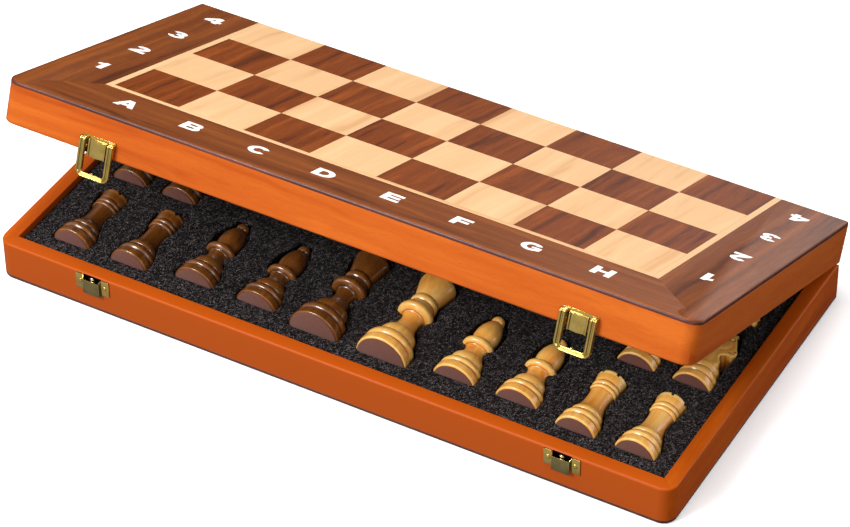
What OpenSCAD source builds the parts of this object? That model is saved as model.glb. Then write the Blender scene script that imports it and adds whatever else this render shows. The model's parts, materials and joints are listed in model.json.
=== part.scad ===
// Folding wooden chess case: a hinged two-tray box whose outer faces make the board,
// with contour-cut foam holding thirty-two turned chess pieces.
// Origin: centre of the case's footprint on the table. +X along the files, +Y to the hinge, +Z up.

/* [Case] */
// Side of one board square
square = 50; // [46:0.5:54]
// Walnut border beside the files
side_border = 48.7; // [40:0.1:56]
// Walnut border in front of the first rank
front_border = 46.3; // [38:0.1:54]
// Width of the light stringing round the squares
string_w = 4.6; // [2:0.1:6]
// Thickness of the four rails of each tray
rail_w = 10.7; // [8:0.1:14]
// Height of one closed tray
tray_h = 30.45; // [26:0.05:36]
// Gap between the two closed trays
rim_gap = 0.3; // [0.2:0.05:0.6]
// Thickness of the board panel under the veneer
panel_t = 2.4; // [2:0.1:4]
// Thickness of the veneer
veneer_t = 0.6; // [0.4:0.1:1]
// Radius of the front corners, seen from above
corner_r = 10; // [4:0.5:14]
// Opening angle of the lid as it stands
lid_angle = 21.16; // [0:0.01:178]

/* [Foam] */
// Distance from the rim down to the foam
foam_drop = 4.5; // [2:0.1:8]
// Foam left under the pockets
foam_floor = 1.0; // [0.6:0.1:3]
// Room between a piece and its pocket wall
pocket_room = 1.5; // [1:0.1:3]
// Thickness of the lining under the lid
lining_t = 3; // [2:0.5:6]

/* [Chess pieces] */
// Height of the king
king_h = 95; // [90:0.5:100]
// Thickness of the felt discs
felt_t = 0.8; // [0.5:0.1:1.2]
// Distance from the case front to the rook and king bases
row_1 = 27.4; // [24:0.1:32]
// Distance from the case front to the bishop bases
row_1b = 33.4; // [28:0.1:38]
// Distance from the case front to the knight bases
row_2 = 101.8; // [98:0.1:108]
// Distance from the case front to the second row of pawns
row_2b = 116; // [112:0.5:120]
// Distance from the case front to the queen bases
row_q = 127.5; // [126:0.1:132]
// Distance from the case front to the last row of pawns
row_3 = 172.5; // [166:0.1:180]

/* [Latches] */
// Distance of each latch from the middle of the case
latch_x = 176.5; // [120:0.5:200]
// Width of the latch and catch plates
plate_w = 26; // [22:0.5:30]
// Thickness of the latch sheet
sheet_t = 0.8; // [0.6:0.1:1.2]
// Drop of the swinging loop below its pivot
bail_drop = 26.8; // [24:0.1:30]

/* [Hinges] */
// Distance of each hinge from the middle of the case
hinge_x = 165; // [100:1:200]
// Length of each hinge
hinge_len = 50; // [30:1:70]
// Radius of the hinge knuckles
knuckle_r = 2.4; // [2:0.1:3]

/* [Hidden] */
$fn = 96;
eps = 0.05;
case_l = 8 * square + 2 * side_border + 2 * string_w;
front_y = -125.4;
hinge_y = front_y + front_border + string_w + 4 * square - 0.1;
back_y = hinge_y - rim_gap / 2;
hinge_z = tray_h + rim_gap / 2;
lid_top = 2 * hinge_z;
rail_z0 = veneer_t + panel_t;
foam_top = tray_h - foam_drop;
pocket_z = rail_z0 + foam_floor;
grid_x = -4 * square;
grid_y = hinge_y - 4 * square;
half_l = case_l / 2;
pivot_out = 1.9;
pivot_z = lid_top - 20;
seat = pocket_z + 0.3;

// Where every piece lies: name, distance from the left end, distance from the front
slots_rook = [[41.4, row_1], [86.8, row_1], [425.0, row_1], [467.3, row_1]];
slots_bishop = [[134.7, row_1b], [182.9, row_1b], [333.0, row_1b], [378.8, row_1b]];
slots_king = [[231.0, row_1], [283.0, row_1]];
slots_queen = [[236.0, row_q], [277.2, row_q]];
slots_knight = [[40.3, row_2], [79.8, row_2], [430.1, row_2], [470.0, row_2]];
pawn_cols = [119.3, 158.8, 198.3, 311.4, 350.9, 390.4];
end_cols = [40.3, 79.8, 430.1, 470.0];
slots_pawn = concat(
  [for (x = pawn_cols) [x, row_2b]],
  [for (x = pawn_cols) [x, row_3]],
  [for (x = end_cols) [x, row_3]]
);

// Turned outlines: radius, height
king_line = [
  [0, 0], [17.4, 0], [18.3, 0.4], [18.6, 1.4], [18.5, 5.4], [18, 6.4], [16.6, 7.3], [16.4, 7.8],
  [17.5, 8.8], [18.1, 10.4], [17.6, 12.8], [16.2, 14.8], [14.6, 16.2], [12.2, 17], [13.1, 18],
  [13.4, 20.4], [13, 23.2], [11.8, 25.6], [9.9, 27.2], [8.6, 29.8], [7.4, 33.4], [6.7, 38.6],
  [7.3, 42.4], [8.2, 43.8], [11.6, 44.6], [12.9, 46], [12.9, 48], [12.1, 50.2], [10.6, 52.8],
  [8.8, 55.8], [9.8, 57], [10.1, 58.6], [9.6, 60.4], [8.8, 61.4], [9.8, 64.4], [11.3, 69.4],
  [12.6, 74], [13.3, 77.4], [12.9, 79.8], [11.2, 81.6], [7.8, 83.2], [4.2, 84.6], [3.2, 85.4],
  [0, 85.4]
];
queen_line = [
  [0, 0], [16.4, 0], [17.2, 0.8], [17.5, 3], [17.5, 6.8], [16.5, 8.2], [16.9, 9], [15.7, 13.6],
  [13.8, 16.2], [11.2, 18.4], [11.5, 20.2], [10.8, 23], [7.6, 27.4], [6.2, 31], [6.2, 36.6],
  [7.6, 40.4], [11.6, 42], [12.4, 44.2], [12.2, 46.8], [9, 51.6], [9.5, 53.8], [9.5, 55.4],
  [8.8, 56.6], [9.6, 61], [11, 66.4], [13.2, 72.6], [12.6, 74.4], [9, 74.8], [6.4, 76.8], [2.6, 78],
  [2.6, 78.4], [3.7, 79.8], [3.9, 81.4], [3.2, 83], [1.6, 84], [0, 84]
];
bishop_line = [
  [0, 0], [14.6, 0], [15.5, 0.4], [15.8, 1.3], [15.7, 4.8], [15.2, 5.8], [14, 6.7], [13.8, 7.2],
  [14.8, 8.1], [15.2, 9.4], [14.6, 11.2], [13.2, 12.8], [11, 13.8], [11.8, 14.8], [12.1, 16.8],
  [11.7, 19.2], [10.6, 21.2], [9.4, 22.2], [8.3, 24.8], [7.7, 27.8], [8, 30.2], [8.6, 31.2],
  [10.6, 31.8], [11.6, 33.2], [11.5, 35], [10.4, 36.8], [8.2, 38.6], [9.2, 40.4], [10.1, 43.4],
  [10.2, 46.8], [9.3, 51.6], [7.4, 56], [5.6, 58.8], [4.3, 60], [5, 61], [5.1, 62.6], [4.4, 64.4],
  [2.7, 65.6], [0, 66]
];
rook_line = [
  [0, 0], [13.7, 0], [14.5, 0.4], [14.8, 1.3], [14.7, 4.8], [14.2, 5.8], [13.1, 6.8], [12.9, 7.3],
  [13.8, 8.2], [14.2, 9.5], [13.6, 11.4], [12.6, 13], [11.1, 14.2], [11.7, 14.9], [11.9, 16.2],
  [11.4, 18], [10.6, 19.4], [9.6, 23.2], [9, 28.6], [9, 34.6], [9.3, 38.4], [9.4, 39.2],
  [10.2, 39.9], [10.5, 41], [10.1, 42.1], [9.3, 42.8], [10.4, 43.6], [10.7, 44.8], [10.3, 46],
  [9.7, 46.6], [10.6, 48.2], [11.3, 50.8], [11.8, 55], [8.6, 55], [8.4, 52.5], [0, 52.5]
];
pawn_line = [
  [0, 0], [12.8, 0], [13.3, 0.8], [13.5, 3], [13.5, 6], [12.7, 7.4], [13, 8.2], [11.4, 12.6],
  [8.8, 15], [9.2, 16.6], [8.6, 18.6], [6.2, 22.6], [5.3, 26.4], [6, 28.6], [9.2, 29.6], [9.6, 31],
  [9, 32.2], [6.4, 33.8], [8, 35.8], [8.8, 38.6], [8.4, 41.8], [6.4, 44.6], [3, 46.1], [0, 46.1]
];
knight_line = [
  [0, 0], [14, 0], [14.5, 0.8], [14.8, 3], [14.8, 6.8], [13.9, 8.4], [14.3, 9.2], [12.8, 14],
  [10.8, 16.2], [11.4, 17.8], [11, 20.2], [9.6, 23], [0, 23]
];
horse_side = [
  [-8.6, 22], [8.4, 22], [7.8, 26], [5.4, 30], [4.6, 33], [7.6, 35.4], [12.2, 34.4], [14.2, 36.6],
  [14, 40.4], [10.6, 46.4], [8.6, 51.6], [6.8, 55], [7, 60.4], [3.6, 58], [1.4, 61.2], [-2.4, 58.8],
  [-6.6, 55.2], [-9.8, 49], [-11.2, 41], [-10.8, 33], [-9.6, 27]
];
horse_front = [
  [-8.6, 22], [8.6, 22], [8.2, 30], [7.2, 44], [5.2, 56], [3.2, 61.4], [-3.2, 61.4], [-5.2, 56],
  [-7.2, 44], [-8.2, 30]
];

// Half outlines of the foam pockets: half width of the piece, height
king_slot = [
  [18.7, -1], [18.7, 12.5], [13.9, 17.6], [13.7, 25], [9.6, 31], [8.6, 41], [12.8, 43.8],
  [13.6, 48], [13.6, 79], [8, 85], [5.4, 96]
];
queen_slot = [
  [17.5, -1], [17.5, 13], [12, 19], [11.5, 24], [8.4, 31], [8.4, 37], [12.6, 42], [13.2, 74],
  [6, 80], [5, 85]
];
bishop_slot = [
  [15.8, -1], [15.8, 10.5], [12.8, 14], [12.4, 20], [9.9, 24], [9, 29.5], [12, 31], [11.9, 36.6],
  [10.6, 40], [10.6, 50], [6.4, 60], [5.8, 67]
];
rook_slot = [
  [14.8, -1], [14.8, 12], [12.3, 15.6], [11.9, 18.6], [10.4, 23], [10.4, 38], [12.2, 46], [12.4, 56]
];
pawn_slot = [
  [13.5, -1], [13.5, 11], [9.4, 16], [7.4, 23], [7.4, 27], [9.8, 30], [9.4, 42], [6, 47]
];
knight_slot = [
  [14.8, -1], [14.8, 14], [13.6, 22], [14.4, 33], [14.4, 42], [9, 62]
];

module tray_outline() {
  translate([-half_l, front_y + corner_r]) square([case_l, back_y - front_y - corner_r]);
  translate([corner_r - half_l, front_y]) square([case_l - 2 * corner_r, 2 * corner_r]);
  for (s = [-1, 1])
    translate([s * (half_l - corner_r), front_y + corner_r]) circle(r = corner_r);
}

// Plan of one mitred rail: 0 front, 1 back, 2 left, 3 right
module rail_plan(side) {
  w = rail_w;
  g = eps;
  y0 = front_y;
  y1 = back_y;
  intersection() {
    tray_outline();
    if (side == 0)
      polygon([[g - half_l, y0], [half_l - g, y0], [half_l - w - g, y0 + w], [w + g - half_l, y0 + w]]);
    if (side == 1)
      polygon([[g - half_l, y1], [w + g - half_l, y1 - w], [half_l - w - g, y1 - w], [half_l - g, y1]]);
    if (side == 2)
      polygon([[-half_l, y0 + g], [w - half_l, y0 + w + g], [w - half_l, y1 - w - g], [-half_l, y1 - g]]);
    if (side == 3)
      polygon([[half_l, y0 + g], [half_l, y1 - g], [half_l - w, y1 - w - g], [half_l - w, y0 + w + g]]);
  }
}

module rail(side) {
  translate([0, 0, rail_z0 + eps]) linear_extrude(tray_h - rail_z0 - eps) rail_plan(side);
}

// Turns a part drawn for the base upside down, into the lid of the closed case
module over() {
  translate([0, 0, lid_top]) mirror([0, 0, 1]) children();
}

// Swings a part of the closed lid to the angle at which it stands
module opened() {
  translate([0, hinge_y, hinge_z]) rotate([-lid_angle, 0, 0]) translate([0, -hinge_y, -hinge_z]) children();
}

module hinge_places() {
  for (s = [-1, 1])
    translate([s * hinge_x, hinge_y, hinge_z]) children();
}

// Room in a back rail for the two hinges and their screws
module hinge_mortises() {
  hinge_places() {
    rotate([0, 90, 0]) cylinder(r = knuckle_r + 0.3, h = hinge_len + 0.8, center = true);
    translate([-hinge_len / 2 - 0.1, -9.5, -rim_gap / 2 - 1.05]) cube([hinge_len + 0.2, 9.5, 1.2]);
    for (x = [-18, 0, 18])
      translate([x, -6, -12]) cylinder(r = 1.15, h = 12);
  }
}

module panel() {
  translate([0, 0, veneer_t]) linear_extrude(panel_t) tray_outline();
}

// Mitred border strips: front, left and right
module border() {
  bx = half_l - side_border;
  by = grid_y - string_w;
  fx = side_border - front_border;
  linear_extrude(veneer_t - 0.02) {
    intersection() {
      tray_outline();
      polygon([
        [fx + eps - half_l, front_y], [half_l - fx - eps, front_y], [bx - eps, by], [eps - bx, by]
      ]);
    }
    for (s = [0, 1])
      mirror([s, 0])
        intersection() {
          tray_outline();
          polygon([
            [-half_l, front_y], [fx - half_l, front_y], [-bx, by], [-bx, back_y], [-half_l, back_y]
          ]);
        }
  }
}

// Stringing strips round the three outer sides of the squares
module stringing() {
  g = eps;
  gy = grid_y - string_w;
  linear_extrude(veneer_t - 0.02) {
    translate([grid_x - string_w + g, gy + g]) square([8 * square + 2 * string_w - 2 * g, string_w - 2 * g]);
    for (s = [-1, 1])
      translate([s * (4 * square + string_w / 2) - string_w / 2 + g, grid_y + g])
        square([string_w - 2 * g, back_y - grid_y - g]);
  }
}

// The sixteen squares of one shade: odd 0 or 1
module squares(odd) {
  for (i = [0:7])
    for (j = [0:3])
      if ((i + j) % 2 == odd)
        translate([grid_x + i * square + eps, grid_y + j * square + eps, 0])
          cube([square - 2 * eps, (j == 3 ? back_y - hinge_y + square : square) - 2 * eps, veneer_t - 0.02]);
}

// Moves a pocket or a lying piece to its slot
module at_slot(p, z) {
  translate([p[0] - half_l, front_y + p[1], z]) children();
}

module pocket(line) {
  n = len(line);
  right = [for (q = line) [q[0] + pocket_room, q[1] + (q[1] < 0 ? -pocket_room : 0)]];
  left = [for (i = [n - 1:-1:0]) [-right[i][0], right[i][1]]];
  linear_extrude(tray_h) polygon(concat(right, left));
}

module pockets(list, line) {
  for (p = list)
    at_slot(p, pocket_z) pocket(line);
}

// A turned piece lying on its side with its base to the front, and its felt disc
module lying(r) {
  translate([0, 0, seat + r]) rotate([-90, 0, 0]) children();
}

module turned(line, r) {
  rotate_extrude() polygon(line);
  translate([0, 0, -felt_t - 0.02]) cylinder(r = r - 1.2, h = felt_t);
}

module king() {
  lying(18.7) {
    turned(king_line, 18.7);
    translate([-1.8, -1.5, 85.3]) cube([3.6, 3, king_h - 85.3]);
    translate([-4.2, -1.5, 88.6]) cube([8.4, 3, 3.2]);
  }
}

module queen() {
  lying(17.5)
    difference() {
      turned(queen_line, 17.5);
      for (a = [0:45:315])
        rotate([0, 0, a]) translate([14.4, 0, 69]) cylinder(r = 2.6, h = 8);
    }
}

module bishop() {
  lying(15.8) turned(bishop_line, 15.8);
}

module rook() {
  lying(16.4)
    difference() {
      turned(rook_line, 14.8);
      for (a = [30, 90, 150])
        rotate([0, 0, a]) translate([-15, -1, 53]) cube([30, 2, 4]);
    }
}

module pawn() {
  lying(13.5) turned(pawn_line, 13.5);
}

// Face -1 looks to the left, 1 to the right
module knight(face) {
  lying(14.8) {
    turned(knight_line, 14.8);
    rotate([0, 0, face < 0 ? 180 : 0])
      intersection() {
        translate([0, 9, 0]) rotate([90, 0, 0]) linear_extrude(18) polygon(horse_side);
        translate([-18, 0, 0]) rotate([90, 0, 90]) linear_extrude(36) polygon(horse_front);
      }
  }
}

module latch_places() {
  for (s = [-1, 1])
    translate([s * latch_x, front_y, 0]) children();
}

// Nails driven into a front rail: places across the plate, height, length
module nail(x, z, head_y) {
  translate([x, -head_y, z]) rotate([-90, 0, 0]) {
    cylinder(r = 1.6, h = 0.6);
    cylinder(r = 0.7, h = 8);
  }
}

module nail_hole(x, z) {
  translate([x, -2, z]) rotate([-90, 0, 0]) cylinder(r = 0.78, h = 10);
}

module catch_holes() {
  latch_places() {
    for (x = [-9.6, 9.6])
      nail_hole(x, 23.2);
    nail_hole(0, 27);
  }
}

// Room for the latch tongues behind the catch plates
module catch_mortises() {
  latch_places()
    translate([-6.9, -1, 17]) cube([13.8, 3.5, 12.6]);
}

module latch_holes() {
  latch_places()
    for (x = [-10.1, 10.1])
      nail_hole(x, pivot_z - 6);
}

// One swinging loop, hanging from its two pins
module bail() {
  z0 = pivot_z - bail_drop;
  y0 = -pivot_out - 2.6;
  difference() {
    translate([0, y0 + 1.1, 0]) rotate([90, 0, 0]) linear_extrude(1.1) {
      translate([-13, z0 + 5.5]) square([26, bail_drop - 5.5]);
      translate([-7.5, z0]) square([15, 6]);
      for (s = [-1, 1])
        translate([s * 7.5, z0 + 5.5]) circle(r = 5.5);
    }
    translate([-8.2, y0 - 1, z0 + 3.8]) cube([16.4, 4, bail_drop]);
  }
  translate([-0.9, y0, z0 + 3.7]) cube([1.8, 1.1, 0.9]);
  for (s = [-1, 1]) {
    translate([s * 12.5 - 0.5, y0 + 0.5, z0 + 5.5]) cube([1, 3, bail_drop - 5.5]);
    translate([s * 12.5, -pivot_out, pivot_z]) rotate([0, 90, 0]) cylinder(r = 0.75, h = 1, center = true);
    translate([s * 10.4, -pivot_out, pivot_z]) rotate([0, 90, 0]) cylinder(r = 0.6, h = 4, center = true);
  }
}

module leaf_knuckles(first) {
  for (k = [first:2:4])
    translate([-hinge_len / 2 + k * hinge_len / 5 + 0.1, 0, 0])
      rotate([0, 90, 0]) cylinder(r = knuckle_r, h = hinge_len / 5 - 0.2);
}

// One leaf for each hinge, let into the base rail; first is the end knuckle, 0 or 1
module leaves(first) {
  hinge_places()
    difference() {
      union() {
        leaf_knuckles(first);
        translate([-hinge_len / 2, -9.3, -rim_gap / 2 - 1]) cube([hinge_len, 6.5, 1]);
        for (k = [first:2:4])
          translate([-hinge_len / 2 + k * hinge_len / 5 + 0.1, -3, -rim_gap / 2 - 1])
            cube([hinge_len / 5 - 0.2, 2, 1]);
      }
      translate([-hinge_len, 0, 0]) rotate([0, 90, 0]) cylinder(r = 1.05, h = 2 * hinge_len);
      for (x = [-18, 0, 18])
        translate([x, -6, -3]) {
          cylinder(r = 1.3, h = 4);
          translate([0, 0, 3 - rim_gap / 2 - 1]) cylinder(r1 = 1.3, r2 = 2.35, h = 1);
        }
    }
}

module leaf_screws() {
  hinge_places()
    for (x = [-18, 0, 18])
      translate([x, -6, 0])
        difference() {
          union() {
            translate([0, 0, -10]) cylinder(r = 1.05, h = 9.5);
            translate([0, 0, -rim_gap / 2 - 1]) cylinder(r1 = 1.2, r2 = 2.25, h = 1);
          }
          translate([-3, -0.25, -rim_gap / 2 - 0.4]) cube([6, 0.5, 1]);
        }
}

// Case wood
rail_c = [0.78, 0.36, 0.13];
dark_c = [0.38, 0.18, 0.09];
light_c = [0.93, 0.76, 0.54];
brass_c = [0.83, 0.68, 0.3];

module base_front_rail() {
  color(rail_c)
    difference() {
      rail(0);
      catch_holes();
      catch_mortises();
    }
}

module base_back_rail() {
  color(rail_c)
    difference() {
      rail(1);
      hinge_mortises();
    }
}

module base_left_rail() {
  color(rail_c) rail(2);
}

module base_right_rail() {
  color(rail_c) rail(3);
}

module base_panel() {
  color(dark_c) panel();
}

module base_border_veneer() {
  color(dark_c) border();
}

module base_light_squares() {
  color(light_c) {
    squares(0);
    stringing();
  }
}

module base_dark_squares() {
  color(dark_c) squares(1);
}

module base_foam() {
  g = 0.2;
  color([0.1, 0.1, 0.11])
    difference() {
      translate([rail_w + g - half_l, front_y + rail_w + g, rail_z0 + eps])
        cube([case_l - 2 * rail_w - 2 * g, back_y - front_y - 2 * rail_w - 2 * g, foam_top - rail_z0 - eps]);
      pockets(slots_king, king_slot);
      pockets(slots_queen, queen_slot);
      pockets(slots_bishop, bishop_slot);
      pockets(slots_rook, rook_slot);
      pockets(slots_knight, knight_slot);
      pockets(slots_pawn, pawn_slot);
    }
}

module catch_plates() {
  color(brass_c)
    latch_places()
      difference() {
        union() {
          translate([-plate_w / 2, -sheet_t, 16.9]) cube([plate_w, sheet_t - 0.02, 12.6]);
          translate([-6.75, -3.1, 15.9]) cube([13.5, 3.1 - 0.02, 11.4]);
        }
        translate([-5.95, -2.3, 15]) cube([11.9, 2.3 - sheet_t, 14]);
        translate([-7, -1, 27.3]) cube([14, 0.2 + sheet_t / 2, 3]);
        for (x = [-9.6, 9.6])
          nail_hole(x, 23.2);
        nail_hole(0, 27);
      }
}

module catch_nails() {
  color([0.8, 0.76, 0.6])
    latch_places() {
      for (x = [-9.6, 9.6])
        nail(x, 23.2, sheet_t + 0.62);
      nail(0, 27, 1.45);
    }
}

module lid_front_rail() {
  color(rail_c)
    opened()
      difference() {
        over() rail(0);
        latch_holes();
      }
}

module lid_back_rail() {
  color(rail_c)
    opened()
      over()
        difference() {
          rail(1);
          hinge_mortises();
        }
}

module lid_left_rail() {
  color(rail_c) opened() over() rail(2);
}

module lid_right_rail() {
  color(rail_c) opened() over() rail(3);
}

module lid_panel() {
  color(dark_c) opened() over() panel();
}

module lid_border_veneer() {
  color(dark_c) opened() over() border();
}

module lid_light_squares() {
  color(light_c)
    opened()
      over() {
        squares(1);
        stringing();
      }
}

module lid_dark_squares() {
  color(dark_c) opened() over() squares(0);
}

module lid_lining() {
  g = 0.3;
  color([0.12, 0.12, 0.13])
    opened()
      over()
        translate([rail_w + g - half_l, front_y + rail_w + g, rail_z0 + eps])
          cube([case_l - 2 * rail_w - 2 * g, back_y - front_y - 2 * rail_w - 2 * g, lining_t]);
}

// Plates with curled ears, a raised tongue and two nails under the loop's sides
module latch_plates() {
  z0 = hinge_z + rim_gap / 2 + 0.05;
  color(brass_c)
    opened()
      latch_places() {
        difference() {
          union() {
            translate([-plate_w / 2, -sheet_t, z0]) cube([plate_w, sheet_t - 0.02, lid_top - 18.1 - z0]);
            for (s = [-1, 1])
              translate([s * 9.95, 0, 0]) {
                translate([0, -pivot_out, pivot_z])
                  rotate([0, 90, 0]) cylinder(r = 1.2, h = 3.3, center = true);
                translate([-1.65, -pivot_out, pivot_z + 0.5]) cube([3.3, pivot_out - 0.1, 0.7]);
              }
            translate([-6.75, -2.5, z0 - 1.8]) cube([13.5, 0.8, lid_top - 20.2 - z0 + 1.8]);
            translate([-6.75, -2.5, lid_top - 21]) cube([13.5, 2.4, 0.8]);
          }
          translate([-15, -pivot_out, pivot_z]) rotate([0, 90, 0]) cylinder(r = 0.65, h = 30);
          for (x = [-10.1, 10.1])
            nail_hole(x, pivot_z - 6);
        }
        for (x = [-10.1, 10.1])
          nail(x, pivot_z - 6, sheet_t + 0.62);
      }
}

module left_bail() {
  color(brass_c) opened() translate([-latch_x, front_y, 0]) bail();
}

module right_bail() {
  color(brass_c) opened() translate([latch_x, front_y, 0]) bail();
}

module hinge_base_leaves() {
  color(brass_c) leaves(0);
}

module hinge_lid_leaves() {
  color(brass_c) opened() over() leaves(1);
}

module hinge_pins() {
  color(brass_c)
    hinge_places()
      rotate([0, 90, 0]) cylinder(r = 1, h = hinge_len + 0.4, center = true);
}

module hinge_base_screws() {
  color(brass_c) leaf_screws();
}

module hinge_lid_screws() {
  color(brass_c) opened() over() leaf_screws();
}

// Walnut-brown men
module dark_rook_a() {
  color(dark_c) at_slot(slots_rook[0], 0) rook();
}

module dark_rook_b() {
  color(dark_c) at_slot(slots_rook[1], 0) rook();
}

module dark_bishop_a() {
  color(dark_c) at_slot(slots_bishop[0], 0) bishop();
}

module dark_bishop_b() {
  color(dark_c) at_slot(slots_bishop[1], 0) bishop();
}

module dark_king() {
  color(dark_c) at_slot(slots_king[0], 0) king();
}

module dark_queen() {
  color(dark_c) at_slot(slots_queen[0], 0) queen();
}

module dark_knight_a() {
  color(dark_c) at_slot(slots_knight[0], 0) knight(-1);
}

module dark_knight_b() {
  color(dark_c) at_slot(slots_knight[1], 0) knight(-1);
}

module dark_pawn_a() {
  color(dark_c) at_slot(slots_pawn[0], 0) pawn();
}

module dark_pawn_b() {
  color(dark_c) at_slot(slots_pawn[1], 0) pawn();
}

module dark_pawn_c() {
  color(dark_c) at_slot(slots_pawn[2], 0) pawn();
}

module dark_pawn_d() {
  color(dark_c) at_slot(slots_pawn[6], 0) pawn();
}

module dark_pawn_e() {
  color(dark_c) at_slot(slots_pawn[7], 0) pawn();
}

module dark_pawn_f() {
  color(dark_c) at_slot(slots_pawn[8], 0) pawn();
}

module dark_pawn_g() {
  color(dark_c) at_slot(slots_pawn[12], 0) pawn();
}

module dark_pawn_h() {
  color(dark_c) at_slot(slots_pawn[13], 0) pawn();
}

// Boxwood men

module light_rook_a() {
  color(light_c) at_slot(slots_rook[2], 0) rook();
}

module light_rook_b() {
  color(light_c) at_slot(slots_rook[3], 0) rook();
}

module light_bishop_a() {
  color(light_c) at_slot(slots_bishop[2], 0) bishop();
}

module light_bishop_b() {
  color(light_c) at_slot(slots_bishop[3], 0) bishop();
}

module light_king() {
  color(light_c) at_slot(slots_king[1], 0) king();
}

module light_queen() {
  color(light_c) at_slot(slots_queen[1], 0) queen();
}

module light_knight_a() {
  color(light_c) at_slot(slots_knight[2], 0) knight(1);
}

module light_knight_b() {
  color(light_c) at_slot(slots_knight[3], 0) knight(1);
}

module light_pawn_a() {
  color(light_c) at_slot(slots_pawn[3], 0) pawn();
}

module light_pawn_b() {
  color(light_c) at_slot(slots_pawn[4], 0) pawn();
}

module light_pawn_c() {
  color(light_c) at_slot(slots_pawn[5], 0) pawn();
}

module light_pawn_d() {
  color(light_c) at_slot(slots_pawn[9], 0) pawn();
}

module light_pawn_e() {
  color(light_c) at_slot(slots_pawn[10], 0) pawn();
}

module light_pawn_f() {
  color(light_c) at_slot(slots_pawn[11], 0) pawn();
}

module light_pawn_g() {
  color(light_c) at_slot(slots_pawn[14], 0) pawn();
}

module light_pawn_h() {
  color(light_c) at_slot(slots_pawn[15], 0) pawn();
}

base_front_rail();
base_back_rail();
base_left_rail();
base_right_rail();
base_panel();
base_border_veneer();
base_light_squares();
base_dark_squares();
base_foam();
catch_plates();
catch_nails();
lid_front_rail();
lid_back_rail();
lid_left_rail();
lid_right_rail();
lid_panel();
lid_border_veneer();
lid_light_squares();
lid_dark_squares();
lid_lining();
latch_plates();
left_bail();
right_bail();
hinge_base_leaves();
hinge_lid_leaves();
hinge_pins();
hinge_base_screws();
hinge_lid_screws();
dark_rook_a();
dark_rook_b();
dark_bishop_a();
dark_bishop_b();
dark_king();
dark_queen();
dark_knight_a();
dark_knight_b();
dark_pawn_a();
dark_pawn_b();
dark_pawn_c();
dark_pawn_d();
dark_pawn_e();
dark_pawn_f();
dark_pawn_g();
dark_pawn_h();
light_rook_a();
light_rook_b();
light_bishop_a();
light_bishop_b();
light_king();
light_queen();
light_knight_a();
light_knight_b();
light_pawn_a();
light_pawn_b();
light_pawn_c();
light_pawn_d();
light_pawn_e();
light_pawn_f();
light_pawn_g();
light_pawn_h();
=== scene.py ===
import json
import math
import random

import bmesh
import bpy
import numpy as np
from mathutils import Matrix, Vector, noise
from mathutils.geometry import tessellate_polygon


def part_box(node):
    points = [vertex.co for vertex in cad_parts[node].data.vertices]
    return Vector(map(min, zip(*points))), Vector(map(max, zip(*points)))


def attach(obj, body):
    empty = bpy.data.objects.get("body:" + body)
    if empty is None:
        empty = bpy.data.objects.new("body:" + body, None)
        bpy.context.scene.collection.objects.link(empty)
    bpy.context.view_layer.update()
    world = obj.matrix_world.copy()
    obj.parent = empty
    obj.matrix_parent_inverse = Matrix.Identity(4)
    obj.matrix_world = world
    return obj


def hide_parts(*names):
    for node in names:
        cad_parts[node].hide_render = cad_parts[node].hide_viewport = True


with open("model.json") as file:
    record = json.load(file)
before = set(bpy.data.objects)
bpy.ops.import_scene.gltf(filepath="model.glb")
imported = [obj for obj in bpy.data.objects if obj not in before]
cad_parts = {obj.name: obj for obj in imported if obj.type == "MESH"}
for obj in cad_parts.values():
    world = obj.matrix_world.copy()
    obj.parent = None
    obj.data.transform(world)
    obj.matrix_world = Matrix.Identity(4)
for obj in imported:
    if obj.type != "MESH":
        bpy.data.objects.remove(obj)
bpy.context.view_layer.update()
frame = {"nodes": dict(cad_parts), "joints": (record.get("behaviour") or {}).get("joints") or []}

# ------------------------------------------------------------------ sizes, in mm, from the frame
MM = 0.001


def box_mm(node):
    """Lowest and highest corner of a CAD node, in mm."""
    lo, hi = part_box(node)
    return [c / MM for c in lo], [c / MM for c in hi]


lid_joint = next(j for j in frame["joints"] if j["name"] == "lid_hinge")
HINGE_Y, HINGE_Z = lid_joint["pos_m"][1] / MM, lid_joint["pos_m"][2] / MM
LID_ANGLE = math.radians(-lid_joint["range_deg"][0])
TOP = 2 * HINGE_Z

panel_lo, panel_hi = box_mm("base_panel")
HALF, FRONT, BACK = panel_hi[0], panel_lo[1], panel_hi[1]
VENEER, RAIL_Z0 = panel_lo[2], panel_hi[2]
RIM = box_mm("base_front_rail")[1][2]
RAIL_W = box_mm("base_front_rail")[1][1] - FRONT
CORNER = 10.0
GRID_X = 200.0
GRID_Y = HINGE_Y - 200.0
SQUARE = 50.0
STRING = 4.6
POCKET_Z = RAIL_Z0 + 1.0
LATCH_X = 176.5
PIVOT_OUT = 1.9
PIVOT_Z = TOP - 20.0
BAIL_DROP = 26.8
HINGE_LEN = 50.0

# A part drawn for the base turns over into the closed lid, and the closed lid swings open
CLOSED_TO_OPEN = (
    Matrix.Translation((0, HINGE_Y, HINGE_Z))
    @ Matrix.Rotation(-LID_ANGLE, 4, "X")
    @ Matrix.Translation((0, -HINGE_Y, -HINGE_Z))
)
TURNED_OVER = Matrix.Translation((0, 0, TOP)) @ Matrix.Diagonal((1, 1, -1, 1))
BASE = Matrix.Identity(4)
LID = CLOSED_TO_OPEN @ TURNED_OVER


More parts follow.
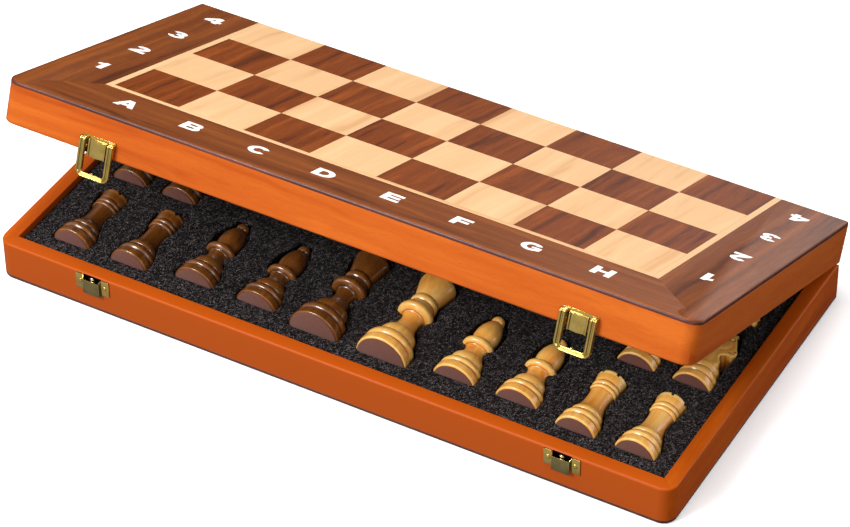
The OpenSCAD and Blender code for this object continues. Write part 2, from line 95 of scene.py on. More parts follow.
# ------------------------------------------------------------------ mesh helpers
class Shell:
    """Vertices in mm with a grain coordinate each, and faces with a material index each."""

    def __init__(self):
        self.v, self.grain, self.f, self.mat = [], [], [], []

    def add(self, verts, faces, mat=0, grain=None, at=None):
        first = len(self.v)
        for p in verts:
            self.grain.append(grain(p) if grain else tuple(p))
            self.v.append(tuple(at @ Vector(p)) if at else tuple(p))
        flip = at is not None and at.determinant() < 0
        for f in faces:
            f = [i + first for i in f]
            self.f.append(f[::-1] if flip else f)
            self.mat.append(mat)

    def merge(self, other):
        first = len(self.v)
        self.v += other.v
        self.grain += other.grain
        self.mat += other.mat
        self.f += [[i + first for i in f] for f in other.f]


def grain_along(axis, rng):
    """A grain coordinate in cm whose first number runs along the wood, at a random place in the log."""
    order = {"x": (0, 1, 2), "y": (1, 0, 2), "z": (2, 0, 1)}[axis]
    off = [rng.uniform(-40, 40) for _ in range(3)]
    return lambda p: tuple(p[k] * 0.1 + off[i] for i, k in enumerate(order))


def link(name, data):
    """A new object in the scene."""
    obj = bpy.data.objects.new(name, data)
    bpy.context.scene.collection.objects.link(obj)
    return obj


def evaluated(obj):
    """A new mesh of an object as its modifiers leave it."""
    bpy.context.view_layer.update()
    return bpy.data.meshes.new_from_object(obj.evaluated_get(bpy.context.evaluated_depsgraph_get()))


def bmesh_of(verts, faces):
    """A bmesh of a closed solid, with its normals pointing out."""
    bm = bmesh.new()
    made = [bm.verts.new(v) for v in verts]
    for f in faces:
        bm.faces.new([made[i] for i in f])
    bmesh.ops.recalc_face_normals(bm, faces=bm.faces)
    return bm


def box_ring(x0, x1, y0, y1, d, z):
    """Four corners of a rectangle pulled in by d, at height z."""
    return [(x0 + d, y0 + d, z), (x1 - d, y0 + d, z), (x1 - d, y1 - d, z), (x0 + d, y1 - d, z)]


def stack(rings, cap_high=True):
    """Skins rings of equal length, listed from low to high and anticlockwise seen from above."""
    n = len(rings[0])
    verts = [p for ring in rings for p in ring]
    faces = []
    for k in range(len(rings) - 1):
        a, b = k * n, (k + 1) * n
        faces += [[a + i, a + (i + 1) % n, b + (i + 1) % n, b + i] for i in range(n)]
    faces.append(list(range(n))[::-1])
    if cap_high:
        faces.append([(len(rings) - 1) * n + i for i in range(n)])
    return verts, faces


def lathe(profile, segments=72):
    """Revolves (radius, height) points about Z. Points on the axis become poles."""
    verts, rows, faces = [], [], []
    for r, h in profile:
        if r < 1e-6:
            rows.append([len(verts)] * segments)
            verts.append((0, 0, h))
        else:
            rows.append(list(range(len(verts), len(verts) + segments)))
            turn = [2 * math.pi * i / segments for i in range(segments)]
            verts += [(r * math.cos(a), r * math.sin(a), h) for a in turn]
    for low, high in zip(rows, rows[1:]):
        for i in range(segments):
            j = (i + 1) % segments
            face = [low[i], low[j], high[j], high[i]]
            face = [q for k, q in enumerate(face) if q != face[k - 1]]
            if len(face) > 2:
                faces.append(face)
    return verts, faces


def smooth_line(points, steps=4):
    """A Catmull-Rom line through the points; a third value of 1 marks a point that stays a corner."""
    pts = [np.array(p[:2], float) for p in points]
    corner = [len(p) > 2 and p[2] == 1 for p in points]
    corner[0] = corner[-1] = True
    out = [tuple(pts[0])]
    for i in range(len(pts) - 1):
        p1, p2 = pts[i], pts[i + 1]
        p0 = 2 * p1 - p2 if corner[i] else pts[i - 1]
        p3 = 2 * p2 - p1 if corner[i + 1] else pts[i + 2]
        for k in range(1, steps + 1):
            t = k / steps
            q = 0.5 * (
                2 * p1
                + (p2 - p0) * t
                + (2 * p0 - 5 * p1 + 4 * p2 - p3) * t * t
                + (3 * p1 - p0 - 3 * p2 + p3) * t**3
            )
            out.append((max(0.0, float(q[0])), float(q[1])))
    return out


def arc(cx, cy, rx, a0, a1, n=8, ry=None):
    """Points on an arc from a0 to a1 degrees."""
    ry = rx if ry is None else ry
    turn = [math.radians(a0 + (a1 - a0) * i / n) for i in range(n + 1)]
    return [(cx + rx * math.cos(a), cy + ry * math.sin(a)) for a in turn]


def bevelled(verts, faces, width, segments=2, angle=30):
    """Rounds the edges of a closed mesh that are sharper than the angle."""
    bm = bmesh_of(verts, faces)
    bm.normal_update()
    sharp = [e for e in bm.edges if len(e.link_faces) == 2 and e.calc_face_angle(0) > math.radians(angle)]
    bmesh.ops.bevel(
        bm, geom=sharp, offset=width, segments=segments, profile=0.5, affect="EDGES", clamp_overlap=True
    )
    bm.verts.index_update()
    out = [tuple(v.co) for v in bm.verts], [[v.index for v in f.verts] for f in bm.faces]
    bm.free()
    return out


def block(x0, x1, y0, y1, z0, z1, r=0.2):
    """A box with rounded edges."""
    verts, faces = stack([box_ring(x0, x1, y0, y1, 0, z) for z in (z0, z1)])
    return bevelled(verts, faces, r)


def extruded(outline, lo, hi, axis="z", r=0.15):
    """A flat outline pulled along an axis, with rounded edges.
    For axis z the outline is (x, y), for y it is (x, z), for x it is (y, z)."""
    place = {
        "z": lambda p, k: (p[0], p[1], k),
        "y": lambda p, k: (p[0], k, p[1]),
        "x": lambda p, k: (k, p[0], p[1]),
    }[axis]
    verts, faces = stack([[place(p, k) for p in outline] for k in (lo, hi)])
    return bevelled(verts, faces, r)


def flat_shape(outlines, z0, z1):
    """A thin solid from a flat outline with holes: the first outline is the outer one."""
    flat = [p for line in outlines for p in line]
    tris = tessellate_polygon([[Vector((x, y, 0)) for x, y in line] for line in outlines])
    n = len(flat)
    verts = [(x, y, z0) for x, y in flat] + [(x, y, z1) for x, y in flat]
    faces = []
    for t in tris:
        (ax, ay), (bx, by), (cx, cy) = (flat[i] for i in t)
        up = (bx - ax) * (cy - ay) - (by - ay) * (cx - ax) > 0
        high = list(t) if up else list(t)[::-1]
        faces.append([i + n for i in high])
        faces.append(high[::-1])
    start = 0
    for k, line in enumerate(outlines):
        m = len(line)
        area = sum(line[i - 1][0] * line[i][1] - line[i][0] * line[i - 1][1] for i in range(m))
        forward = (area > 0) == (k == 0)
        for i in range(m):
            a, b = start + i, start + (i + 1) % m
            side = [a, b, b + n, a + n]
            faces.append(side if forward else side[::-1])
        start += m
    return verts, faces


def piece(name, shell, body, materials, nodes=(), place=BASE, sharp=38):
    """Makes an object from a shell, rides it on its body and lets it stand for its CAD nodes."""
    flip = place.determinant() < 0
    mesh = bpy.data.meshes.new(name)
    points = [tuple((place @ Vector(p)) * MM) for p in shell.v]
    mesh.from_pydata(points, [], [f[::-1] for f in shell.f] if flip else shell.f)
    attribute = mesh.attributes.new("grain", "FLOAT_VECTOR", "POINT")
    attribute.data.foreach_set("vector", np.array(shell.grain, np.float32).ravel())
    mesh.polygons.foreach_set("material_index", shell.mat)
    mesh.shade_smooth()
    mesh.set_sharp_from_angle(angle=math.radians(sharp))
    mesh.update()
    obj = link(name, mesh)
    for m in materials:
        mesh.materials.append(m)
    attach(obj, body)
    if nodes:
        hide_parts(*nodes)
    return obj


# ------------------------------------------------------------------ materials
def srgb(r, g, b):
    """A linear colour from 0-255 display values."""
    return tuple(((c / 255 + 0.055) / 1.055) ** 2.4 if c > 10 else c / 3294 for c in (r, g, b)) + (1,)


class Tree:
    """A small helper for building one material's node tree."""

    def __init__(self, name, on_cad=False):
        self.on_cad = on_cad
        self.mat = bpy.data.materials.new(name)
        self.mat.use_nodes = True
        self.t = self.mat.node_tree
        self.shader = self.t.nodes["Principled BSDF"]

    def feed(self, socket, value):
        """Links a socket to another one, or sets it to a constant."""
        if isinstance(value, bpy.types.NodeSocket):
            self.t.links.new(value, socket)
        else:
            socket.default_value = value

    def node(self, kind, inputs=None, **props):
        n = self.t.nodes.new(kind)
        for k, v in props.items():
            setattr(n, k, v)
        for k, v in (inputs or {}).items():
            self.feed(n.inputs[k], v)
        return n

    def put(self, socket, value):
        self.feed(self.shader.inputs[socket], value)

    def grain(self, scale=(1, 1, 1)):
        if self.on_cad:
            g = self.node("ShaderNodeTexCoord").outputs["Object"]
            return self.scaled(g, tuple(100 * k for k in scale))
        g = self.node("ShaderNodeAttribute", attribute_name="grain").outputs["Vector"]
        return self.scaled(g, scale)

    def scaled(self, vector, scale):
        return self.node(
            "ShaderNodeVectorMath", {0: vector, 1: scale}, operation="MULTIPLY"
        ).outputs[0]

    def noise(self, vector, scale, detail=3.0, rough=0.55, warp=0.0):
        return self.node(
            "ShaderNodeTexNoise",
            {"Vector": vector, "Scale": scale, "Detail": detail, "Roughness": rough, "Distortion": warp},
        ).outputs["Fac"]

    def cells(self, vector, scale, out="Distance"):
        return self.node(
            "ShaderNodeTexVoronoi", {"Vector": vector, "Scale": scale, "Randomness": 1.0}, feature="F1"
        ).outputs[out]

    def ramp(self, value, stops):
        n = self.node("ShaderNodeValToRGB", {"Fac": value})
        n.color_ramp.interpolation = "EASE"
        e = n.color_ramp.elements
        e[0].position, e[0].color = stops[0]
        e[1].position, e[1].color = stops[-1]
        for pos, col in stops[1:-1]:
            new = e.new(pos)
            new.color = col
        return n.outputs["Color"]

    def step(self, value, lo, hi, out_lo=0.0, out_hi=1.0):
        return self.node(
            "ShaderNodeMapRange",
            {"Value": value, "From Min": lo, "From Max": hi, "To Min": out_lo, "To Max": out_hi},
        ).outputs["Result"]

    def math(self, a, b, operation="MULTIPLY"):
        return self.node("ShaderNodeMath", {0: a, 1: b}, operation=operation).outputs[0]

    def mix(self, fac, a, b):
        return self.node("ShaderNodeMix", {0: fac, 6: a, 7: b}, data_type="RGBA").outputs[2]

    def bump(self, height, strength, distance, after=None):
        inputs = {"Strength": strength, "Distance": distance, "Height": height}
        if after is not None:
            inputs["Normal"] = after
        return self.node("ShaderNodeBump", inputs).outputs["Normal"]


def shade(c, k):
    return tuple(min(1, x * k) for x in c[:3]) + (1,)


def wood(name, pale, deep, dark, band=1.3, streak=0.35, pore=0.5, fleck=0.0, rough=(0.3, 0.42), coat=0.0,
         bump=0.25, blotch=0.25, stretch=0.1, gloss=0.3, crease_shade_ridge_highlight=0.0):
    """Wood under satin lacquer; its bands, fibres and pores run along the first grain coordinate.
    Its three colours are given as display values."""
    t = Tree(name)
    pale, deep, dark = (srgb(*c) for c in (pale, deep, dark))
    wobble = t.noise(t.grain((0.12, 0.3, 0.3)), 1.0, 2)
    along = t.node("ShaderNodeVectorMath", {0: t.grain(), 1: t.node(
        "ShaderNodeCombineXYZ", {"X": 0.0, "Y": t.step(wobble, 0, 1, -0.6, 0.6),
                                 "Z": t.step(wobble, 0, 1, -0.6, 0.6)}
    ).outputs[0]}, operation="ADD").outputs[0]
    bands = t.noise(t.scaled(along, (stretch * 0.5, 1, 1)), band, 3, 0.6)
    fibre = t.noise(t.scaled(along, (stretch, 2.2, 2.2)), 7.0, 5, 0.65)
    hair = t.noise(t.scaled(along, (stretch * 0.6, 5, 5)), 9.0, 3, 0.6)
    cloud = t.noise(t.grain((0.5, 1, 1)), 0.35, 3, 0.5)
    colour = t.ramp(t.step(bands, 0.3, 0.7), [(0, pale), (0.55, deep), (1, dark)])
    colour = t.mix(t.step(fibre, 0.35, 0.75, 0, streak), colour, shade(dark, 0.8))
    colour = t.mix(t.step(hair, 0.58, 0.72, 0, pore), colour, shade(dark, 0.55))
    colour = t.mix(t.step(cloud, 0.35, 0.7, 0, blotch), colour, shade(deep, 0.72))
    if fleck:
        spots = t.cells(t.scaled(along, (stretch * 3, 2.4, 2.4)), 3.2)
        colour = t.mix(t.step(spots, 0.08, 0.2, fleck, 0), colour, shade(deep, 0.6))
    # Painted shade darkens the hollows of the turned grooves and a painted highlight lightens the ridges,
    # both read from the mesh's pointiness.
    if crease_shade_ridge_highlight:
        bend = t.node("ShaderNodeNewGeometry").outputs["Pointiness"]
        colour = t.mix(t.step(bend, 0.499, 0.475, 0, crease_shade_ridge_highlight), colour, shade(dark, 0.45))
        colour = t.mix(t.step(bend, 0.503, 0.53, 0, crease_shade_ridge_highlight * 0.7), colour, shade(pale, 1.25))
    t.put("Base Color", colour)
    t.put("Roughness", t.step(fibre, 0.3, 0.7, rough[0], rough[1]))
    t.put("Specular IOR Level", gloss)
    t.put("Coat Weight", coat)
    t.put("Coat Roughness", 0.18)
    t.put("Coat IOR", 1.45)
    skin = t.bump(t.noise(t.grain(), 5.0, 2), 0.12, 0.0003)
    t.put("Normal", t.bump(t.math(fibre, hair, "ADD"), bump, 0.00012, skin))
    return t.mat


def foam_material(name, base, glint_colour):
    """Open-cell foam: a matt surface of small cells of random tone, with a painted highlight on some cells
    where their ribs would catch the light.
    """
    t = Tree(name)
    v = t.grain()
    cells = t.cells(v, 10.0)
    fine = t.cells(v, 21.0)
    pick = t.node("ShaderNodeSeparateColor", {"Color": t.cells(v, 10.0, out="Color")}).outputs
    small = t.node("ShaderNodeSeparateColor", {"Color": t.cells(v, 21.0, out="Color")}).outputs
    cloud = t.noise(v, 0.6, 3)
    colour = t.ramp(t.math(t.math(pick["Green"], small["Red"], "ADD"), 0.5),
                    [(0.2, shade(base, 0.1)), (0.5, shade(base, 0.5)), (0.66, shade(base, 3.0)),
                     (0.9, shade(base, 12))])
    colour = t.mix(t.step(cloud, 0.3, 0.7, 0, 0.3), colour, shade(base, 0.7))
    # Painted highlight: pale glints on some cells stand in for light caught by the foam's ribs.
    glint = t.math(t.step(pick["Red"], 0.7, 1.0), t.step(fine, 0.5, 0.15))
    colour = t.mix(glint, colour, glint_colour)
    t.put("Base Color", colour)
    t.put("Roughness", t.step(cells, 0, 1, 0.62, 0.95))
    t.put("Specular IOR Level", 0.12)
    first = t.bump(fine, 0.7, 0.0004)
    t.put("Normal", t.bump(cells, 1.0, 0.0012, first))
    return t.mat


def felt_material():
    """Mauve-brown baize with short fibres and a slight nap."""
    t = Tree("felt_baize")
    v = t.grain()
    nap = t.noise(v, 26.0, 4, 0.7)
    cloud = t.noise(v, 2.2, 3)
    lint = t.noise(t.scaled(v, (1, 3, 1)), 30.0, 2, 0.5, 1.5)
    colour = t.ramp(t.step(nap, 0.3, 0.7), [(0, srgb(72, 34, 25)), (0.5, srgb(106, 56, 41)),
                                            (1, srgb(138, 84, 64))])
    colour = t.mix(t.step(cloud, 0.35, 0.7, 0, 0.3), colour, srgb(94, 50, 40))
    colour = t.mix(t.step(lint, 0.66, 0.75, 0, 0.4), colour, srgb(186, 140, 122))
    t.put("Base Color", colour)
    t.put("Roughness", t.step(nap, 0.2, 0.8, 0.8, 0.98))
    t.put("Sheen Weight", 0.35)
    t.put("Sheen Roughness", 0.5)
    t.put("Normal", t.bump(nap, 0.7, 0.0003))
    return t.mat


def metal(name, tone, deep, rough, on_cad=False):
    """Plated pressed sheet with faint tarnish, rubbing marks and a slightly uneven surface."""
    t = Tree(name, on_cad)
    v = t.grain()
    cloud = t.noise(v, 1.8, 4, 0.6)
    marks = t.noise(t.scaled(v, (1, 9, 9)), 9.0, 3, 0.6)
    spots = t.noise(v, 14.0, 4, 0.6)
    colour = t.mix(t.step(cloud, 0.35, 0.75, 0, 0.6), tone, deep)
    colour = t.mix(t.step(spots, 0.58, 0.75, 0, 0.4), colour, shade(deep, 0.5))
    t.put("Base Color", colour)
    t.put("Metallic", 1.0)
    t.put("Roughness", t.step(t.math(marks, cloud, "ADD"), 0.7, 1.3, rough[0], rough[1]))
    first = t.bump(t.noise(v, 1.2, 2), 0.08, 0.0001)
    t.put("Normal", t.bump(marks, 0.12, 0.00005, first))
    return t.mat


def ink_material():
    """White print, worn thin in a few specks, following the pores of the veneer."""
    t = Tree("white_print")
    v = t.grain()
    worn = t.noise(v, 16.0, 4, 0.6)
    cloud = t.noise(v, 1.0, 2)
    colour = t.mix(t.step(worn, 0.66, 0.76, 0, 0.5), srgb(246, 244, 240), srgb(188, 172, 160))
    colour = t.mix(t.step(cloud, 0.4, 0.8, 0, 0.25), colour, srgb(226, 220, 214))
    t.put("Base Color", colour)
    t.put("Roughness", t.step(worn, 0.3, 0.7, 0.35, 0.5))
    t.put("Normal", t.bump(worn, 0.15, 0.0001))
    return t.mat


M = {
    # The lid and the case are one wood: the lid's copy is lighter and the case's darker, painted light and
    # painted shade for how the light falls on each.
    "lid": wood("lid_lacquer", (208, 106, 35), (194, 92, 28), (172, 72, 18), band=0.7, streak=0.3,
                pore=0.25, fleck=0.4, rough=(0.26, 0.36), bump=0.2, blotch=0.15, stretch=0.12, gloss=0.1),
    "base": wood("case_lacquer", (196, 92, 18), (182, 79, 13), (160, 60, 8), band=0.7, streak=0.3,
                 pore=0.25, fleck=0.4, rough=(0.3, 0.4), bump=0.2, blotch=0.15, stretch=0.12, gloss=0.12),
    "panel": wood("panel_edge", (112, 54, 38), (88, 40, 28), (60, 26, 20), band=2.0, streak=0.4,
                  pore=0.4, rough=(0.3, 0.42), gloss=0.4),
    "border": wood("walnut_border", (152, 83, 34), (124, 64, 25), (80, 37, 15), band=1.1, streak=0.5,
                   pore=0.6, rough=(0.26, 0.36), stretch=0.05, gloss=0.2),
    "walnut": wood("walnut_squares", (158, 80, 24), (128, 60, 15), (78, 32, 8), band=1.5, streak=0.55,
                   pore=0.6, rough=(0.26, 0.36), stretch=0.05, gloss=0.2),
    "maple": wood("maple_squares", (230, 189, 142), (224, 179, 131), (210, 161, 113), band=0.9,
                  streak=0.1, pore=0.06, rough=(0.32, 0.42), bump=0.15, blotch=0.08, stretch=0.06,
                  gloss=0.2),
    # The men's woods paint shade into their grooves and highlights onto their ridges.
    "box": wood("boxwood_men", (255, 204, 118), (255, 174, 74), (240, 138, 46), band=1.9, streak=0.2,
                pore=0.15, rough=(0.3, 0.4), coat=0.8, bump=0.1, blotch=0.25, stretch=0.14, gloss=0.6,
                crease_shade_ridge_highlight=0.9),
    "brown": wood("walnut_men", (146, 88, 36), (112, 62, 20), (66, 36, 12), band=2.1, streak=0.45,
                  pore=0.4, rough=(0.2, 0.32), coat=1.0, bump=0.1, blotch=0.4, stretch=0.14, gloss=0.5,
                  crease_shade_ridge_highlight=0.8),
    # The second colour of each foam is its painted glint highlight.
    "foam": foam_material("case_foam", (0.0135, 0.0112, 0.0112, 1), srgb(190, 176, 180)),
    "lining": foam_material("lid_foam", (0.0125, 0.0108, 0.0108, 1), srgb(150, 142, 144)),
    "felt": felt_material(),
    "brass": metal("latch_brass", srgb(214, 184, 104), srgb(166, 136, 66), rough=(0.12, 0.22)),
    "catch": metal("catch_brass", srgb(150, 134, 88), srgb(112, 98, 60), rough=(0.34, 0.46)),
    "steel": metal("nail_steel", srgb(232, 228, 222), srgb(186, 180, 170), rough=(0.12, 0.25)),
    "hinge": metal("hinge_brass", srgb(224, 190, 108), srgb(176, 138, 66), rough=(0.18, 0.3), on_cad=True),
    "ink": ink_material(),
    # Near-black wood for the faces cut into the rails: painted shade in the hinge recesses and the catch
    # mortises.
    "recess": wood("recess_stain", (20, 14, 10), (14, 10, 8), (8, 6, 5), rough=(0.7, 0.9), gloss=0.1),
}

# ------------------------------------------------------------------ the two trays
def rail_ring(side, do, di, dm, z):
    """Plan of one mitred rail: do and di pull in its outer and inner face, dm its mitred ends."""
    r, lx, ly = CORNER - do, HALF - CORNER, FRONT + CORNER
    xi, yf, yb = HALF - RAIL_W + di, FRONT + RAIL_W - di, BACK - RAIL_W + di
    xo, yo = HALF - do, BACK - do
    if side == "front":
        pts = arc(-lx, ly, r, 225, 270) + arc(lx, ly, r, 270, 315) + [(xi, yf), (-xi, yf)]
        pts[0], pts[-1] = (pts[0][0] + dm, pts[0][1]), (pts[-1][0] + dm, yf)
        pts[17], pts[18] = (pts[17][0] - dm, pts[17][1]), (pts[18][0] - dm, yf)
    elif side == "right":
        pts = [(xi, yf + dm)] + arc(lx, ly, r, 315, 360) + [(xo, yo - dm), (xi, yb - dm)]
        pts[1] = (pts[1][0], pts[1][1] + dm)
    elif side == "left":
        pts = [(-xo, yo - dm)] + arc(-lx, ly, r, 180, 225) + [(-xi, yf + dm), (-xi, yb - dm)]
        pts[9] = (pts[9][0], pts[9][1] + dm)
    else:
        pts = [(xi - dm, yb), (xo - dm, yo), (dm - xo, yo), (dm - xi, yb)]
    return [(x, y, z) for x, y in pts]


def rail_shell(side, rng, outer=1.7, inner=0.7):
    """A rail from the board panel up to the rim, with its rim edges rounded over."""
    levels = [(RAIL_Z0 + 0.04, 0.15, 0.0, 0.06), (RAIL_Z0 + 0.2, 0, 0, 0.02)]
    for k in range(9):
        a = math.pi / 2 * k / 8
        z = RIM - outer * (1 - math.sin(a))
        up = max(0.0, z - (RIM - inner))
        levels.append((z, outer * (1 - math.cos(a)), inner - math.sqrt(max(0, inner**2 - up**2)), 0.02
                       + 0.1 * up))
    shell = Shell()
    rings = [rail_ring(side, do, di, dm, z) for z, do, di, dm in levels]
    shell.add(*stack(rings), grain=grain_along("x" if side in ("front", "back") else "y", rng))
    return shell


def cut(obj, boxes, name, inside, place=BASE):
    """Cuts separate closed solids, drawn like the piece's tray, out of a piece, with a Boolean modifier."""
    mesh = bpy.data.meshes.new(name)
    shell = Shell()
    for b in boxes:
        shell.add(*b)
    faces = [f[::-1] for f in shell.f] if place.determinant() < 0 else shell.f
    mesh.from_pydata([tuple((place @ Vector(p)) * MM) for p in shell.v], [], faces)
    mesh.materials.append(inside)
    tool = link(name, mesh)
    mod = obj.modifiers.new("cut", "BOOLEAN")
    mod.object, mod.operation, mod.solver, mod.material_mode = tool, "DIFFERENCE", "EXACT", "TRANSFER"
    baked = evaluated(obj)
    obj.modifiers.clear()
    obj.data = baked
    bpy.data.objects.remove(tool)
    baked.set_sharp_from_angle(angle=math.radians(38))
    return obj


def hinge_room():
    """Solids to cut out of a back rail, for the knuckles, the leaves and the screws."""
    r = 0.05
    half = HINGE_LEN / 2
    middles = [s * (box_mm("hinge_base_leaves")[1][0] - half) for s in (-1, 1)]
    circle = arc(HINGE_Y, HINGE_Z, 2.7, 0, 345, 23)
    channels = [extruded(circle, x - half - 0.4, x + half + 0.4, "x", r) for x in middles]
    beds = [block(x - half - 0.1, x + half + 0.1, HINGE_Y - 9.5, HINGE_Y + 1, HINGE_Z - 1.2, HINGE_Z + 0.5,
                  r)
            for x in middles]
    holes = [extruded(arc(x + dx, HINGE_Y - 6, 1.15, 0, 345, 23), HINGE_Z - 12, HINGE_Z - 1, "z", r)
             for x in middles for dx in (-18, 0, 18)]
    return channels, beds, holes


def tray_ring(do, z):
    """Outline of a whole tray: rounded in front, square at the hinge."""
    r, lx, ly = CORNER - do, HALF - CORNER, FRONT + CORNER
    db = min(do, 0.15)
    pts = arc(-lx, ly, r, 180, 270, 12) + arc(lx, ly, r, 270, 360, 12)
    return [(x, y, z) for x, y in pts + [(HALF - do, BACK - db), (do - HALF, BACK - db)]]


EDGE_R = 1.9


def edge_in(z):
    """How far the rounded board edge is pulled in at a height above the outer face."""
    return EDGE_R - math.sqrt(max(0.0, EDGE_R**2 - max(0.0, EDGE_R - z) ** 2))


FACE = 0.03


def border_ring(part, z, extra=0.0):
    """Plan of a border strip: the front one, or the right one."""
    do = edge_in(z) + extra
    r, lx, ly = CORNER - do, HALF - CORNER, FRONT + CORNER
    bx, by = GRID_X + STRING + 0.04, GRID_Y - STRING - 0.04
    wx, wy = bx - lx, by - ly
    along = (wy - wx) / math.sqrt(2)
    t = -along + math.sqrt(max(0.0, r * r - (wx * wx + wy * wy - along * along)))
    t = max(t, 1.0)
    px, py = bx + t / math.sqrt(2), by - t / math.sqrt(2)
    turn = math.degrees(math.atan2(py - ly, px - lx)) % 360
    if part == "front":
        pts = arc(-lx, ly, r, 540 - turn, 270, 6) + arc(lx, ly, r, 270, turn, 6) + [(bx, by), (-bx, by)]
    else:
        pts = [(bx, by)] + arc(lx, ly, r, turn, 360, 10) + [(HALF - do, BACK - 0.1), (bx, BACK - 0.1)]
    return [(x, y, z) for x, y in pts]


def border_shell(rng):
    shell = Shell()
    levels = [FACE, 0.1, 0.2, 0.32, 0.46, 0.6]
    shell.add(*stack([border_ring("front", z) for z in levels]), grain=grain_along("x", rng))
    right = stack([border_ring("right", z) for z in levels])
    shell.add(*right, grain=grain_along("y", rng))
    verts, faces = right
    mirrored = [(-x, y, z) for x, y, z in verts]
    shell.add(mirrored, [f[::-1] for f in faces], grain=grain_along("y", rng))
    return shell


def panel_shell(rng):
    shell = Shell()
    levels = [VENEER, 0.85, 1.15, 1.5, EDGE_R, RAIL_Z0 - 0.12, RAIL_Z0]
    rings = [tray_ring(edge_in(z) + (0.1 if z == RAIL_Z0 else 0), z) for z in levels]
    shell.add(*stack(rings), grain=grain_along("x", rng))
    return shell


def tile(x0, x1, y0, y1):
    """A flush veneer tile with a hair of a bevel round its face."""
    levels = ((0.1, FACE), (0.03, FACE + 0.07), (0.03, VENEER - 0.02))
    return stack([box_ring(x0, x1, y0, y1, d, z) for d, z in levels])


def squares_shell(odd, rng):
    """The sixteen squares of one shade, each from another place in the veneer leaf."""
    shell = Shell()
    for i in range(8):
        for j in range(4):
            if (i + j) % 2 == odd:
                x, y = i * SQUARE - GRID_X, GRID_Y + j * SQUARE
                end = BACK if j == 3 else y + SQUARE
                shell.add(*tile(x, x + SQUARE, y, end), grain=grain_along("y", rng))
    return shell


def add_stringing(shell, rng):
    out = GRID_X + STRING
    shell.add(*tile(-out, out, GRID_Y - STRING, GRID_Y), grain=grain_along("x", rng))
    for s in (-1, 1):
        x0, x1 = sorted((s * GRID_X, s * out))
        shell.add(*tile(x0, x1, GRID_Y, BACK), grain=grain_along("y", rng))


# ------------------------------------------------------------------ printed notation
def oval(cx, cy, rx, ry, a0, a1, n=10):
    return arc(cx, cy, rx, a0, a1, n, ry)


